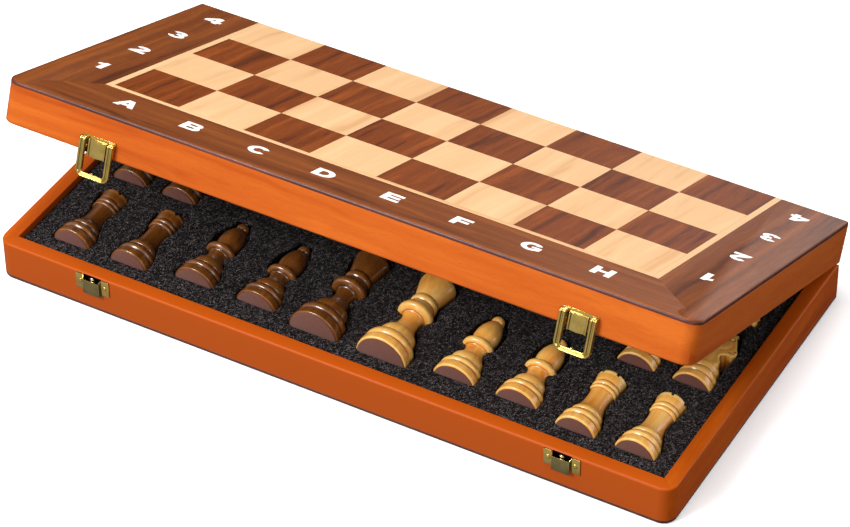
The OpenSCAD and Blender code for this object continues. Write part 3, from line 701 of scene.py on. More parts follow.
def glyph(sign):
    """Outlines of a heavy, wide letter or figure on a 13.5 mm cap height, and its width."""
    h = 13.5
    if sign == "A":
        return [[(0, 0), (4.3, 0), (5.3, 2.5), (10.1, 2.5), (11.1, 0), (15.4, 0), (10, h), (5.4, h)],
                [(6.4, 5.4), (7.7, 9.3), (9, 5.4)]], 15.4
    if sign == "B":
        outer = [(0, 0)] + oval(9.6, 3.95, 4.2, 3.95, -90, 52) + oval(9.1, 10.1, 3.9, 3.4, -38,
                90) + [(0, h)]
        return [outer, [(4.1, 2.9)] + oval(8.6, 4.15, 1.2, 1.25, -90, 90, 6) + [(4.1, 5.4)],
                [(4.1, 8.1)] + oval(8.3, 9.4, 1.2, 1.3, -90, 90, 6) + [(4.1, 10.7)]], 13.8
    if sign == "C":
        outer = oval(7.2, 6.75, 7.2, 7.0, 34, 326, 22)
        return [outer + oval(7.2, 6.75, 3.3, 3.7, 318, 42, 16)], 13.6
    if sign == "D":
        return [[(0, 0)] + oval(7.2, 6.75, 7.0, 6.75, -90, 90, 16) + [(0, h)],
                [(4.1, 3.1)] + oval(6.6, 6.75, 3.3, 3.65, -90, 90, 12) + [(4.1, 10.4)]], 14.2
    if sign == "E":
        return [[(0, 0), (12.9, 0), (12.9, 3.2), (4.1, 3.2), (4.1, 5.3), (11.9, 5.3), (11.9, 8.3),
                 (4.1, 8.3),
                 (4.1, 10.3), (12.7, 10.3), (12.7, h), (0, h)]], 12.9
    if sign == "F":
        return [[(0, 0), (4.1, 0), (4.1, 5.1), (11.3, 5.1), (11.3, 8.2), (4.1, 8.2), (4.1, 10.3),
                 (12.5, 10.3),
                 (12.5, h), (0, h)]], 12.5
    if sign == "G":
        outer = oval(7.2, 6.75, 7.2, 7.0, 36, 308, 22) + [(14.2, 2.2), (14.2, 7.5), (7.6, 7.5), (7.6, 4.9)]
        return [outer + [(10.6, 4.9), (10.6, 4.0)] + oval(7.2, 6.75, 3.3, 3.7, 300, 44, 14)], 14.2
    if sign == "H":
        return [[(0, 0), (4.1, 0), (4.1, 5.2), (9.7, 5.2), (9.7, 0), (13.8, 0), (13.8, h), (9.7, h),
                 (9.7, 8.4),
                 (4.1, 8.4), (4.1, h), (0, h)]], 13.8
    if sign == "1":
        return [[(3.4, 0), (7.7, 0), (7.7, h), (4.5, h), (3.5, 12.0), (0.2, 10.9), (0.2, 7.9),
                 (3.4, 8.7)]], 7.9
    if sign == "2":
        return [[(0, 0), (12.3, 0), (12.3, 3.2), (6.4, 3.2), (9.6, 5.0)]
                + oval(6.5, 9.4, 5.6, 4.3, -22, 158, 14)
                + [(4.9, 9.3), (5.4, 10.3), (6.4, 10.6), (7.6, 10.1), (7.9, 9.1), (7.0, 7.8), (3.2, 5.2),
                   (0.7, 2.9)]], 12.3
    if sign == "3":
        outer = oval(6.0, 4.05, 6.2, 4.25, -168, 48, 14) + oval(6.0, 10.0, 5.6, 3.7, -34, 162, 12)
        return [outer + [(4.6, 9.6), (5.2, 10.6), (6.2, 10.9), (7.4, 10.4), (7.2, 9.0), (4.6, 8.4),
                         (4.6, 6.0),
                         (7.4, 5.4), (8.0, 4.1), (7.2, 2.9), (5.8, 2.6), (4.7, 3.2), (4.3, 4.4)]], 12.2
    if sign == "4":
        return [[(7, 0), (11, 0), (11, 2.6), (13, 2.6), (13, 5.6), (11, 5.6), (11, h), (6.8, h), (0, 5.9),
                 (0, 2.6),
                 (7, 2.6)], [(3.9, 5.6), (7, 9.1), (7, 5.6)]], 13
    if sign == "5":
        outer = oval(6.2, 4.5, 6.0, 4.7, -165, 110, 18)
        return [outer + [(4.9, 8.7), (5.1, 10.3), (11.4, 10.3), (11.4, h), (1.9, h), (0.6, 5.9), (4.5, 5.4),
                         (6.0, 6.0), (7.8, 5.4), (8.1, 4.3), (7.6, 3.0), (6.0, 2.6), (4.7, 3.1),
                         (4.3, 4.4)]], 12.2
    if sign == "6":
        outer = oval(6.4, 4.6, 6.2, 4.8, -180, 112, 18) + [(4.9, 8.6), (5.4, 10.2), (6.6, 10.7),
                                                           (7.9, 10.0), (11.9, 10.6)]
        return [outer + oval(6.7, 9.0, 5.4, 4.7, 30, 120, 6) + [(0.9, 9.6)],
                oval(6.3, 4.6, 2.0, 1.9, 0, 342, 12)], 12.6
    if sign == "7":
        return [[(3.0, 0), (7.3, 0), (8.6, 5.0), (12.2, 10.5), (12.2, h), (0.2, h), (0.2, 10.3),
                 (7.0, 10.3), (4.2, 5.6)]], 12.2
    outer = oval(6.2, 4.0, 6.2, 4.15, -205, 25, 16) + oval(6.2, 10.0, 5.5, 3.65, -25, 205, 16)
    return [outer, oval(6.2, 4.1, 2.0, 1.45, 0, 342, 12), oval(6.2, 9.9, 1.7, 1.25, 0, 342, 12)], 12.4


def notation_shell(ranks, underside, rng):
    """Letters along the front border and figures beside the ranks, as a film of ink on the outer face.
    On the underside of the base the board is read from below, with its far side to the front."""
    shell = Shell()
    up = -1 if underside else 1

    def put(sign, x, y, turned):
        outlines, width = glyph(sign)
        s = -1 if turned else 1
        lines = [[(x + s * (px - width / 2), y + s * up * (py - 6.75)) for px, py in line]
                 for line in outlines]
        if underside:
            lines = [line[::-1] for line in lines]
        shell.add(*flat_shape(lines, 0.0, FACE + 0.01), grain=grain_along("x", rng))

    for i, letter in enumerate("ABCDEFGH"):
        put(letter, (i - 3.5) * SQUARE, FRONT + 26.9, underside)
    for j, figure in enumerate(ranks):
        y = GRID_Y + (j + 0.5) * SQUARE
        put(figure, 26.6 - HALF, y, False)
        put(figure, HALF - 26.6, y, True)
    return shell

# ------------------------------------------------------------------ foam
FELT = 0.82
MEN_R = {"king": 18.7, "queen": 17.5, "bishop": 15.8, "rook": 14.8, "knight": 14.8, "pawn": 13.5}
SLOTS = {
    "king": [(18.7, -1), (18.7, 9), (17.8, 13), (13, 19.5), (12.8, 24.5), (8.6, 30), (7, 35), (7.2, 40),
             (10, 43.6),
             (13.3, 46.4), (13.2, 50.6), (10.6, 55), (10.6, 61), (13.6, 75), (13.3, 80.5), (9, 84.6),
             (5, 87.4), (4.6, 95.6)],
    "queen": [(17.5, -1), (17.5, 8.4), (16.6, 12), (12.2, 18), (12, 22.6), (8, 28), (6.6, 32), (6.8, 37),
              (9.6, 40.6),
              (12.4, 43.2), (12.4, 47), (9.8, 51.6), (9.8, 56.4), (13.4, 72), (12.8, 75.6), (6.4, 79),
              (4.4, 84.6)],
    "bishop": [(15.8, -1), (15.8, 8), (14.8, 12), (11.8, 16.8), (11.6, 21), (7.8, 26), (6.8, 30), (9.4, 33),
               (12, 35.2),
               (12, 51), (9.4, 57.5), (6.2, 63), (6, 69)],
    "rook": [(14.8, -1), (14.8, 8), (13.8, 12), (11.4, 16.6), (10.6, 20.6), (8.4, 25), (8.0, 34), (9.8, 40),
             (10.8, 47),
             (11.4, 55.5)],
    "pawn": [(13.5, -1), (13.5, 7), (12.4, 11), (9.4, 15), (9, 19), (6.4, 23), (6, 27), (9.6, 29.4),
             (9.7, 33),
             (9.2, 41), (5, 46.6)],
    "knight": [(14.8, -1), (14.8, 8), (13.8, 12), (13.4, 24), (14.4, 33), (14.4, 43), (9, 61.6)],
}
MEN = [n for n in frame["nodes"] if n.startswith(("dark_", "light_")) and n.split("_")[1] in MEN_R]


def man_place(node):
    """Middle of the base, distance of the base from the front, and height of the axis of a lying man."""
    lo, hi = box_mm(node)
    return (lo[0] + hi[0]) / 2, lo[1] + FELT, lo[2] + MEN_R[node.split("_")[1]]


def rounded(points, cut_len, n=5):
    """A closed outline with each corner turned into a short curve."""
    out = []
    m = len(points)
    for i in range(m):
        p0, p1, p2 = (Vector(points[(i + k) % m]) for k in (-1, 0, 1))
        a = p1 + (p0 - p1).normalized() * min(cut_len, (p0 - p1).length * 0.46)
        b = p1 + (p2 - p1).normalized() * min(cut_len, (p2 - p1).length * 0.46)
        for k in range(n + 1):
            t = k / n
            out.append(a * (1 - t) ** 2 + p1 * 2 * t * (1 - t) + b * t * t)
    return out


def pocket_outline(kind, x0, y0, level=0.0):
    """The cut edge of one foam pocket, anticlockwise. It closes in with the level above the man's axis."""
    least = 6.5 if kind == "pawn" else 3.4
    right = []
    for w, h in SLOTS[kind]:
        near = min(w, math.sqrt(max(w * w - level * level, 0.0) + min(least, level) ** 2))
        right.append((near + 0.5 - 0.03 * level, h if h > 0 else h - 0.9))
    closed = right + [(-w, h) for w, h in reversed(right)]
    out = []
    for p in rounded(closed, 4.0):
        q = Vector((p.x + x0, p.y + y0))
        wave = noise.noise(Vector((q.x * 0.16, q.y * 0.16, 3.0)))
        out.append(q + (p - Vector((0, 30))).normalized() * (0.3 * wave))
    return out


def outward(loop):
    """Normals of a closed anticlockwise loop, pointing out of it."""
    m = len(loop)
    normals = []
    for i in range(m):
        d = loop[(i + 1) % m] - loop[i - 1]
        normals.append(Vector((d.y, -d.x)).normalized())
    return normals


def foam_shell(rng):
    """The insert: flat top with soft lips, and a straight-sided pocket for each man."""
    lo, hi = box_mm("base_foam")
    spots = [(n.split("_")[1], *man_place(n)) for n in MEN]
    loops = [pocket_outline(kind, x, y) for kind, x, y, z in spots]
    pts = [np.array(loop) for loop in loops]
    shell = Shell()
    grain = grain_along("x", rng)
    top, lip = hi[2], 1.25

    def ring_of(loop, normals, reach, off, z):
        return [(p.x + n.x * r * off, p.y + n.y * r * off, z) for p, n, r in zip(loop, normals, reach)]

    holes, inner = [], []
    for k, loop in enumerate(loops):
        others = np.concatenate([q for i, q in enumerate(pts) if i != k])
        gap = np.sqrt(((pts[k][:, None] - others[None]) ** 2).sum(2)).min(1)
        reach = [min(lip, max(0.3, (g - 0.6) / 2.6)) for g in gap]
        kind, x, y, axis = spots[k]
        rings = [ring_of(loop, outward(loop), reach, 0, POCKET_Z)]
        for level in (0.0, 0.4, 0.7, 0.9, 1.0):
            level *= top - lip - axis
            loop = pocket_outline(kind, x, y, level)
            rings.append(ring_of(loop, outward(loop), reach, 0, axis + level))
        normals = outward(loop)
        for a in (15, 30, 45, 60, 75, 90):
            c = 1 - math.cos(math.radians(a))
            z = [top - r * (1 - math.sin(math.radians(a))) for r in reach]
            rings.append([(x, y, zz) for (x, y, _), zz in zip(ring_of(loop, normals, reach, c, 0), z)])
        rings.append(ring_of(loop, normals, reach, 1.25, top))
        inner.append(rings)
        holes.append(rings[-1])
    levels = [(0.5, lo[2]), (0, lo[2] + 0.5), (0, top - 1.0)]
    levels += [(1 - math.cos(math.radians(a)), top - 1 + math.sin(math.radians(a))) for a in (30, 60, 90)]
    levels.append((1.6, top))
    outer = [box_ring(lo[0], hi[0], lo[1], hi[1], d, z) for d, z in levels]
    verts, faces = stack(outer, cap_high=False)
    cap = [(len(outer) - 1) * 4 + i for i in range(4)]
    groups = [cap]
    for rings in inner:
        n, start = len(rings[0]), len(verts)
        verts += [p for ring in rings for p in ring]
        for k in range(len(rings) - 1):
            a, b = start + k * n, start + (k + 1) * n
            faces += [[a + (i + 1) % n, a + i, b + i, b + (i + 1) % n] for i in range(n)]
        for t in tessellate_polygon([[Vector(p) for p in rings[0]]]):
            faces.append(upward([start + i for i in t], verts))
        groups.append([start + (len(rings) - 1) * n + i for i in range(n)])
    flat = [i for g in groups for i in g]
    for t in tessellate_polygon([[Vector(verts[i]) for i in g] for g in groups]):
        faces.append(upward([flat[i] for i in t], verts))
    shell.add(verts, faces, grain=grain)
    return shell


def upward(face, verts):
    """The face with its normal up."""
    (ax, ay, _), (bx, by, _), (cx, cy, _) = (verts[i] for i in face)
    return face if (bx - ax) * (cy - ay) - (by - ay) * (cx - ax) > 0 else face[::-1]


def lining_shell(rng):
    """The thin foam sheet glued under the lid, drawn as if for the base."""
    lo, hi = box_mm("base_foam")
    z0, z1 = RAIL_Z0 + 0.05, RAIL_Z0 + 3.05
    levels = [(0.3, z0), (0.1, z0 + 0.3), (0.1, z1 - 1.0), (0.25, z1 - 0.5), (0.6, z1 - 0.15), (1.1, z1),
              (1.6, z1)]
    shell = Shell()
    rings = [box_ring(lo[0], hi[0], lo[1], hi[1], d, z) for d, z in levels]
    shell.add(*stack(rings), grain=grain_along("x", rng))
    return shell


# ------------------------------------------------------------------ turned men
C = 1  # marks a point that stays a corner
OUTLINES = {
    "king": [
        (0, 0), (17.4, 0, C), (18.3, 0.4), (18.6, 1.4), (18.5, 5.4), (18.0, 6.4), (16.6, 7.3),
        (16.4, 7.8, C), (17.5, 8.8),
        (18.1, 10.4), (17.6, 12.8), (16.2, 14.8), (14.6, 16.2), (12.2, 17, C), (13.1, 18), (13.4, 20.4),
        (13, 23.2),
        (11.8, 25.6), (9.9, 27.2, C), (8.6, 29.8), (7.4, 33.4), (6.7, 38.6), (7.3, 42.4), (8.2, 43.8, C),
        (11.6, 44.6), (12.9, 46),
        (12.9, 48), (12.1, 50.2, C), (10.6, 52.8), (8.8, 55.8, C), (9.8, 57), (10.1, 58.6), (9.6, 60.4),
        (8.8, 61.4, C),
        (9.8, 64.4), (11.3, 69.4), (12.6, 74), (13.3, 77.4), (12.9, 79.8), (11.2, 81.6), (7.8, 83.2),
        (4.2, 84.6),
        (3.2, 85.4, C), (0, 85.4)],
    "queen": [
        (0, 0), (16.2, 0, C), (17.1, 0.4), (17.4, 1.4), (17.3, 5.0), (16.8, 6.0), (15.5, 6.9),
        (15.3, 7.4, C), (16.3, 8.3),
        (16.9, 9.8), (16.4, 12), (14.8, 14.8), (12.6, 16.9), (10.6, 18, C), (11.4, 18.8), (11.8, 20.2),
        (11.4, 21.8),
        (10.1, 23.4, C), (7.6, 27), (6.1, 31), (6.0, 36), (7.0, 39.6), (8.2, 41, C), (11, 41.8),
        (12.1, 43.4),
        (12.1, 45.2), (11.3, 47, C), (9.9, 49), (8.4, 51.4, C), (9.2, 52.6), (9.5, 54), (9.1, 55.4),
        (8.3, 56.2, C),
        (9.2, 60), (10.8, 66.4), (13.1, 72.8, C), (12.6, 74), (10.4, 74, C), (8.8, 73.4), (7.2, 74.8),
        (5.6, 76.8),
        (2.7, 78.2, C), (3.6, 79.4), (3.9, 81), (3.4, 82.8), (1.8, 84), (0, 84.1)],
    "bishop": [
        (0, 0), (14.6, 0, C), (15.5, 0.4), (15.8, 1.3), (15.7, 4.8), (15.2, 5.8), (14.0, 6.7),
        (13.8, 7.2, C), (14.8, 8.1),
        (15.2, 9.4), (14.6, 11.2), (13.2, 12.8), (11, 13.8, C), (11.8, 14.8), (12.1, 16.8), (11.7, 19.2),
        (10.6, 21.2), (9.4, 22.2, C),
        (8.3, 24.8), (7.7, 27.8), (8.0, 30.2), (8.6, 31.2, C), (10.6, 31.8), (11.6, 33.2), (11.5, 35),
        (10.2, 36.6), (7.4, 38.4, C), (8.1, 40.4), (8.8, 43.4), (8.9, 46.6), (8.2, 51.2), (6.7, 55.6),
        (5.0, 58.8), (3.9, 60, C),
        (4.5, 61), (4.6, 62.6), (4.0, 64.4), (2.5, 65.6), (0, 66)],
    "rook": [
        (0, 0), (13.7, 0, C), (14.5, 0.4), (14.8, 1.3), (14.7, 4.8), (14.2, 5.8), (13.1, 6.8),
        (12.9, 7.3, C), (13.8, 8.2),
        (14.2, 9.5), (13.6, 11.4), (12.6, 13), (11.1, 14.2, C), (11.7, 14.9), (11.9, 16.2), (11.4, 18),
        (10.4, 19.4, C),
        (9.2, 23.2), (8.4, 28.6), (8.3, 34.6), (8.6, 38.4), (8.7, 39.2, C), (9.8, 39.9), (10.1, 41),
        (9.7, 42.1),
        (8.9, 42.8, C), (9.9, 43.6), (10.2, 44.8), (9.8, 46), (9.2, 46.6, C), (9.9, 48.2), (10.4, 50.8),
        (10.6, 53, C), (7.8, 53, C), (7.6, 52.5), (0, 52.5)],
    "pawn": [
        (0, 0), (12.5, 0, C), (13.2, 0.4), (13.5, 1.3), (13.4, 4.4), (12.9, 5.3), (11.8, 6.1),
        (11.6, 6.6, C), (12.5, 7.4),
        (12.9, 8.6), (12.2, 10.6), (10.7, 12.6), (8.2, 14.4, C), (8.9, 15.1), (9.2, 16.3), (8.9, 17.6),
        (7.9, 19, C),
        (6, 22.6), (5.2, 26.2), (5.7, 28.2), (6.8, 28.9, C), (9, 29.4), (9.6, 30.7), (8.9, 32.1, C),
        (7.3, 33.2),
        (6.1, 33.9, C), (7.8, 35.8), (8.8, 38.6), (8.5, 41.6), (6.6, 44.4), (3.2, 46), (0, 46.1)],
    "knight": [
        (0, 0), (13.7, 0, C), (14.5, 0.4), (14.8, 1.3), (14.7, 4.8), (14.2, 5.8), (13.1, 6.8),
        (12.9, 7.3, C), (13.8, 8.2),
        (14.2, 9.5), (13.6, 11.6), (12.2, 13.8), (10, 15.8, C), (10.8, 16.5), (11.3, 18), (11.1, 20),
        (10.2, 21.8),
        (9.4, 23, C), (0, 23)],
}


def horse_head():
    """A plain carved horse's head facing +X, standing on its turned base: vertices and faces in mm."""
    side = [
        (-8.6, 21.6), (8.4, 21.6), (7.8, 26), (5.6, 30), (5.0, 33), (7.6, 35.0), (12.0, 34.4), (14.0, 36.4),
        (14.1, 39.6),
        (12.0, 43.6), (9.8, 48.4), (8.2, 52.2), (6.6, 55.4), (6.6, 60.4), (4.0, 58.6), (1.6, 61.2),
        (-2.4, 59.4),
        (-6.4, 55.6), (-9.6, 49.4), (-11.2, 41.4), (-10.9, 33), (-9.7, 27)]
    front = [
        (-8.8, 21.4), (8.8, 21.4), (8.4, 30), (7.6, 40), (6.0, 50), (4.9, 56), (3.6, 61.6), (-3.6, 61.6),
        (-4.9, 56),
        (-6.0, 50), (-7.6, 40), (-8.4, 30)]
    objs = []
    for outline, axis, lo, hi in ((side, "y", -9, 9), (front, "x", -16, 18)):
        verts, faces = stack([[(p[0], k, p[1]) if axis == "y" else (k, p[0], p[1]) for p in outline]
                              for k in (lo, hi)])
        mesh = bpy.data.meshes.new("horse_tool")
        bm = bmesh_of(verts, faces)
        bm.to_mesh(mesh)
        bm.free()
        objs.append(link("horse_tool", mesh))
    a, b = objs
    cross = a.modifiers.new("meet", "BOOLEAN")
    cross.object, cross.operation, cross.solver = b, "INTERSECT", "EXACT"
    soft = a.modifiers.new("edges", "BEVEL")
    soft.width, soft.segments, soft.limit_method, soft.angle_limit = 1.1, 2, "ANGLE", math.radians(25)
    vox = a.modifiers.new("skin", "REMESH")
    vox.mode, vox.voxel_size = "VOXEL", 0.6
    relax = a.modifiers.new("relax", "SMOOTH")
    relax.factor, relax.iterations = 0.5, 5
    mesh = evaluated(a)
    points = [carve(v.co, v.normal) for v in mesh.vertices]
    faces = [list(p.vertices) for p in mesh.polygons]
    for o in objs:
        bpy.data.objects.remove(o)
    return points, faces


def dent(d, width):
    """1 at the middle of a mark, falling smoothly to 0 at its width."""
    return math.exp(-((d / width) ** 2) * 2)


def carve(p, n):
    """Moves a point of the head in or out for the mane, ears, eye, cheek, nostril and mouth."""
    u, v, a = p
    flank = min(1, abs(n.y) * 1.4)
    push = 0.0
    mane = max(0.0, min(1, (-3.0 - u + (a - 40) * 0.12) / 2.5)) * (1 if a > 27 else 0)
    push -= 0.75 * mane * max(0.0, math.sin((a * 1.0 - u * 0.7) * 1.55)) * (0.35 + 0.65 * flank)
    push -= 0.7 * dent(math.hypot(u + 3.2 - (a - 40) * 0.12, 0), 0.9) * flank * (1 if 28 < a < 57 else 0)
    cheek = math.hypot(u - 1.8, a - 44.5)
    push += 0.75 * flank / (1 + math.exp((cheek - 6.2) * 2.2))
    push += 0.8 * dent(math.hypot(u - 4.6, a - 52.2), 1.5) * flank
    push -= 0.6 * dent(math.hypot(u - 4.6, a - 52.2) - 2.1, 0.8) * flank
    push -= 1.2 * dent(math.hypot(u - 12.2, a - 40.0), 1.1) * flank
    push -= 0.8 * dent(abs(a - 37.2 - (14 - u) * 0.12), 0.6) * flank * (1 if u > 8.6 else 0)
    move = n * push
    if a > 56.5 and abs(v) < 1.7:
        move.z -= (a - 56.5) * 0.75 * (1 - abs(v) / 1.7)
    return tuple(p + move)


HORSE = horse_head()


def merlons():
    """Six blocks round the rook's crown, leaving three slots across it."""
    out = []
    for k in range(6):
        mid = 60 * k
        ring = []
        for r, half in ((10.7, 25.2), (7.8, 23.0)):
            a0, a1 = (mid - half, mid + half) if r > 9 else (mid + half, mid - half)
            ring += arc(0, 0, r, a0, a1, 8)
        verts, faces = stack([[(x, y, z) for x, y in ring] for z in (52.9, 55)])
        out.append(bevelled(verts, faces, 0.35, 2))
    return out


def crown_scallops(verts):
    """Dips the queen's crown rim into eight scallops."""
    out = []
    for x, y, z in verts:
        r = math.hypot(x, y)
        if z > 66 and r > 8.6:
            wave = 0.5 - 0.5 * math.cos(8 * math.atan2(y, x))
            share = min(1, (z - 66) / 7) * min(1, (r - 8.6) / 2.5)
            z -= 3.4 * share * wave**0.8
            k = 1 - 0.05 * share * wave
            x, y = x * k, y * k
        out.append((x, y, z))
    return out


def man_shell(kind, face, rng):
    """One man standing on Z, wood as material 0 and felt as material 1."""
    shell = Shell()
    grain = grain_along("z", rng)
    turn = Matrix.Rotation(math.pi if face < 0 else 0, 4, "Z")
    verts, faces = lathe(smooth_line(OUTLINES[kind]), 80)
    if kind == "queen":
        verts = crown_scallops(verts)
    shell.add(verts, faces, 0, grain)
    if kind == "king":
        cross = [(-1.5, 85.0), (1.5, 85.0), (1.25, 87.4), (1.5, 88.8), (4.2, 88.4), (4.2, 92.0),
                 (1.5, 91.6), (1.9, 95.0),
                 (-1.9, 95.0), (-1.5, 91.6), (-4.2, 92.0), (-4.2, 88.4), (-1.5, 88.8), (-1.25, 87.4)]
        shell.add(*extruded(cross, -1.5, 1.5, "y", 0.35), 0, grain)
    if kind == "rook":
        for m in merlons():
            shell.add(*m, 0, grain)
    if kind == "knight":
        shell.add(*HORSE, 0, grain, at=turn)
    r = MEN_R[kind] - 1.2
    disc = [(0, -0.8), (r - 0.35, -0.8), (r - 0.1, -0.68), (r, -0.45), (r, -0.1), (r - 0.1, -0.02),
            (0, -0.02)]
    shell.add(*lathe(disc, 64), 1, grain)
    return shell


# ------------------------------------------------------------------ pressed brass fittings
def on_front(shell, x0, verts, faces, mat=0, grain=None):
    """Adds a part given as (across, distance out of the front face, height)."""
    shell.add([(x0 + x, FRONT - w, z) for x, w, z in verts], [f[::-1] for f in faces], mat, grain)


def strip(path, low, high, thick, r=0.12):
    """A bent upright sheet, from plan points of its outer side, its two edges and its thickness."""
    n = len(path)
    pts = [Vector(p) for p in path]
    verts = []
    for i, p in enumerate(pts):
        d = (pts[min(i + 1, n - 1)] - pts[max(i - 1, 0)]).normalized()
        q = p + Vector((d.y, -d.x)) * thick
        verts += [(p.x, p.y, low(p.x)), (p.x, p.y, high(p.x)), (q.x, q.y, high(p.x)), (q.x, q.y, low(p.x))]
    faces = [[0, 1, 2, 3], [4 * n - 1, 4 * n - 2, 4 * n - 3, 4 * n - 4]]
    for i in range(n - 1):
        a, b = 4 * i, 4 * i + 4
        faces += [[a + k, b + k, b + (k + 1) % 4, a + (k + 1) % 4] for k in range(4)]
    return bevelled(verts, faces, r, 2, 50)


def nail_head(x, z, w, r=1.7, h=0.66):
    """A domed nail head seen from the front, with the start of its shank."""
    verts, faces = lathe([(0, -2.0), (0.7, -2.0), (0.7, -0.05), (r, -0.05), (r, 0.12), (r * 0.86, h * 0.56),
                          (r * 0.6, h * 0.84), (r * 0.3, h * 0.97), (0, h)], 28)
    return [(x + a, w + c, z + b) for a, b, c in verts], [f[::-1] for f in faces]


def catch_shell(x0, rng):
    """Catch plate: two nailed wings and a raised pocket whose sides slope."""
    shell = Shell()
    grain = grain_along("x", rng)
    bend = [(13, 0.8), (7.7, 0.8), (7.45, 0.87), (7.25, 1.05), (6.5, 2.8), (6.35, 3.0), (6.1, 3.1)]
    path = [(-x, w) for x, w in bend] + [(-3, 3.1), (0, 3.1), (3, 3.1)] + bend[::-1]

    def share(x):
        return max(0.0, min(1.0, (abs(x) - 6.1) / 1.5))

    low = lambda x: 15.9 + 1.0 * share(x)
    high = lambda x: 27.2 + 2.3 * share(x)
    verts, faces = strip(path, low, high, 0.75)
    front = {i for i, v in enumerate(verts) if abs(v[0]) < 6.3 and v[1] > 2.9}
    on_front(shell, x0, verts, [f for f in faces if not set(f) <= front], 0, grain)
    on_front(shell, x0, verts, [f for f in faces if set(f) <= front], 1, grain)
    return shell


def catch_nails(x0, rng):
    shell = Shell()
    grain = grain_along("x", rng)
    for x in (-9.6, 9.6):
        on_front(shell, x0, *nail_head(x, 23.2, 0.8), 0, grain)
    on_front(shell, x0, *nail_head(0, 27, 0.75, 1.9, 0.7), 1, grain)
    return shell


def latch_shell(rng):
    """Lid plates with curled ears round the loop's pins, and a raised tongue with a rim down each side."""
    shell = Shell()
    grain = grain_along("x", rng)
    z0, z1 = HINGE_Z + 0.2, TOP - 18.1
    for x0 in (-LATCH_X, LATCH_X):
        on_front(shell, x0, *block(-13, 13, 0.02, 0.8, z0, z1, 0.14), 0, grain)
        for s in (-1, 1):
            curl = [(0.8, PIVOT_Z - 2.4), (0.8, PIVOT_Z - 0.6)]
            curl += [(PIVOT_OUT + 1.28 * math.cos(math.radians(a)), PIVOT_Z
                      + 1.28 * math.sin(math.radians(a)))
                     for a in range(-110, 160, 15)]
            curl += [(0.75, PIVOT_Z + 1.3), (0.3, PIVOT_Z + 1.8), (0.3, PIVOT_Z - 2.4)]
            xa, xb = sorted((s * 8.3, s * 11.6))
            on_front(shell, x0, *extruded([(w, z) for w, z in curl], xa, xb, "x", 0.15), 0, grain)
        plan = [(-6.75, 2.1), (-6.6, 2.42), (-6.2, 2.5), (-5.75, 2.38), (-5.5, 2.1), (-5.1, 1.7),
                (-3.6, 2.06),
                (-1.8, 2.42), (0, 2.55), (1.8, 2.42), (3.6, 2.06), (5.1, 1.7), (5.5, 2.1), (5.75, 2.38),
                (6.2, 2.5),
                (6.6, 2.42), (6.75, 2.1)]
        on_front(shell, x0, *strip(plan, lambda x: z0 - 1.8, lambda x: PIVOT_Z - 0.25, 0.5, 0.1), 0, grain)
        fold = [(0.3, PIVOT_Z - 0.9), (1.9, PIVOT_Z - 0.9), (2.1, PIVOT_Z - 0.5), (1.9, PIVOT_Z - 0.2),
                (0.3, PIVOT_Z - 0.2)]
        on_front(shell, x0, *extruded(fold, -6.75, 6.75, "x", 0.12), 0, grain)
        for x in (-10.1, 10.1):
            on_front(shell, x0, *nail_head(x, PIVOT_Z - 6, 0.8), 0, grain)
    return shell


# Section of the loop from its outer to its inner edge: share of the width, and height above the pivot line
BAIL_FRONT = [(0, 0.0), (0, 1.5), (0.02, 2.05), (0.08, 2.42), (0.17, 2.58), (0.27, 2.5), (0.36, 2.15),
              (0.42, 1.75),
              (0.5, 1.6), (0.57, 1.78), (0.63, 2.15), (0.7, 2.42), (0.78, 2.5), (0.88, 2.38), (0.96, 2.0),
              (1, 1.4), (1, 0.5)]
BAIL_BACK = [(0.86, 0.5), (0.86, 1.3), (0.7, 1.7), (0.5, 0.95), (0.3, 1.7), (0.16, 1.5), (0.14, 0.0)]


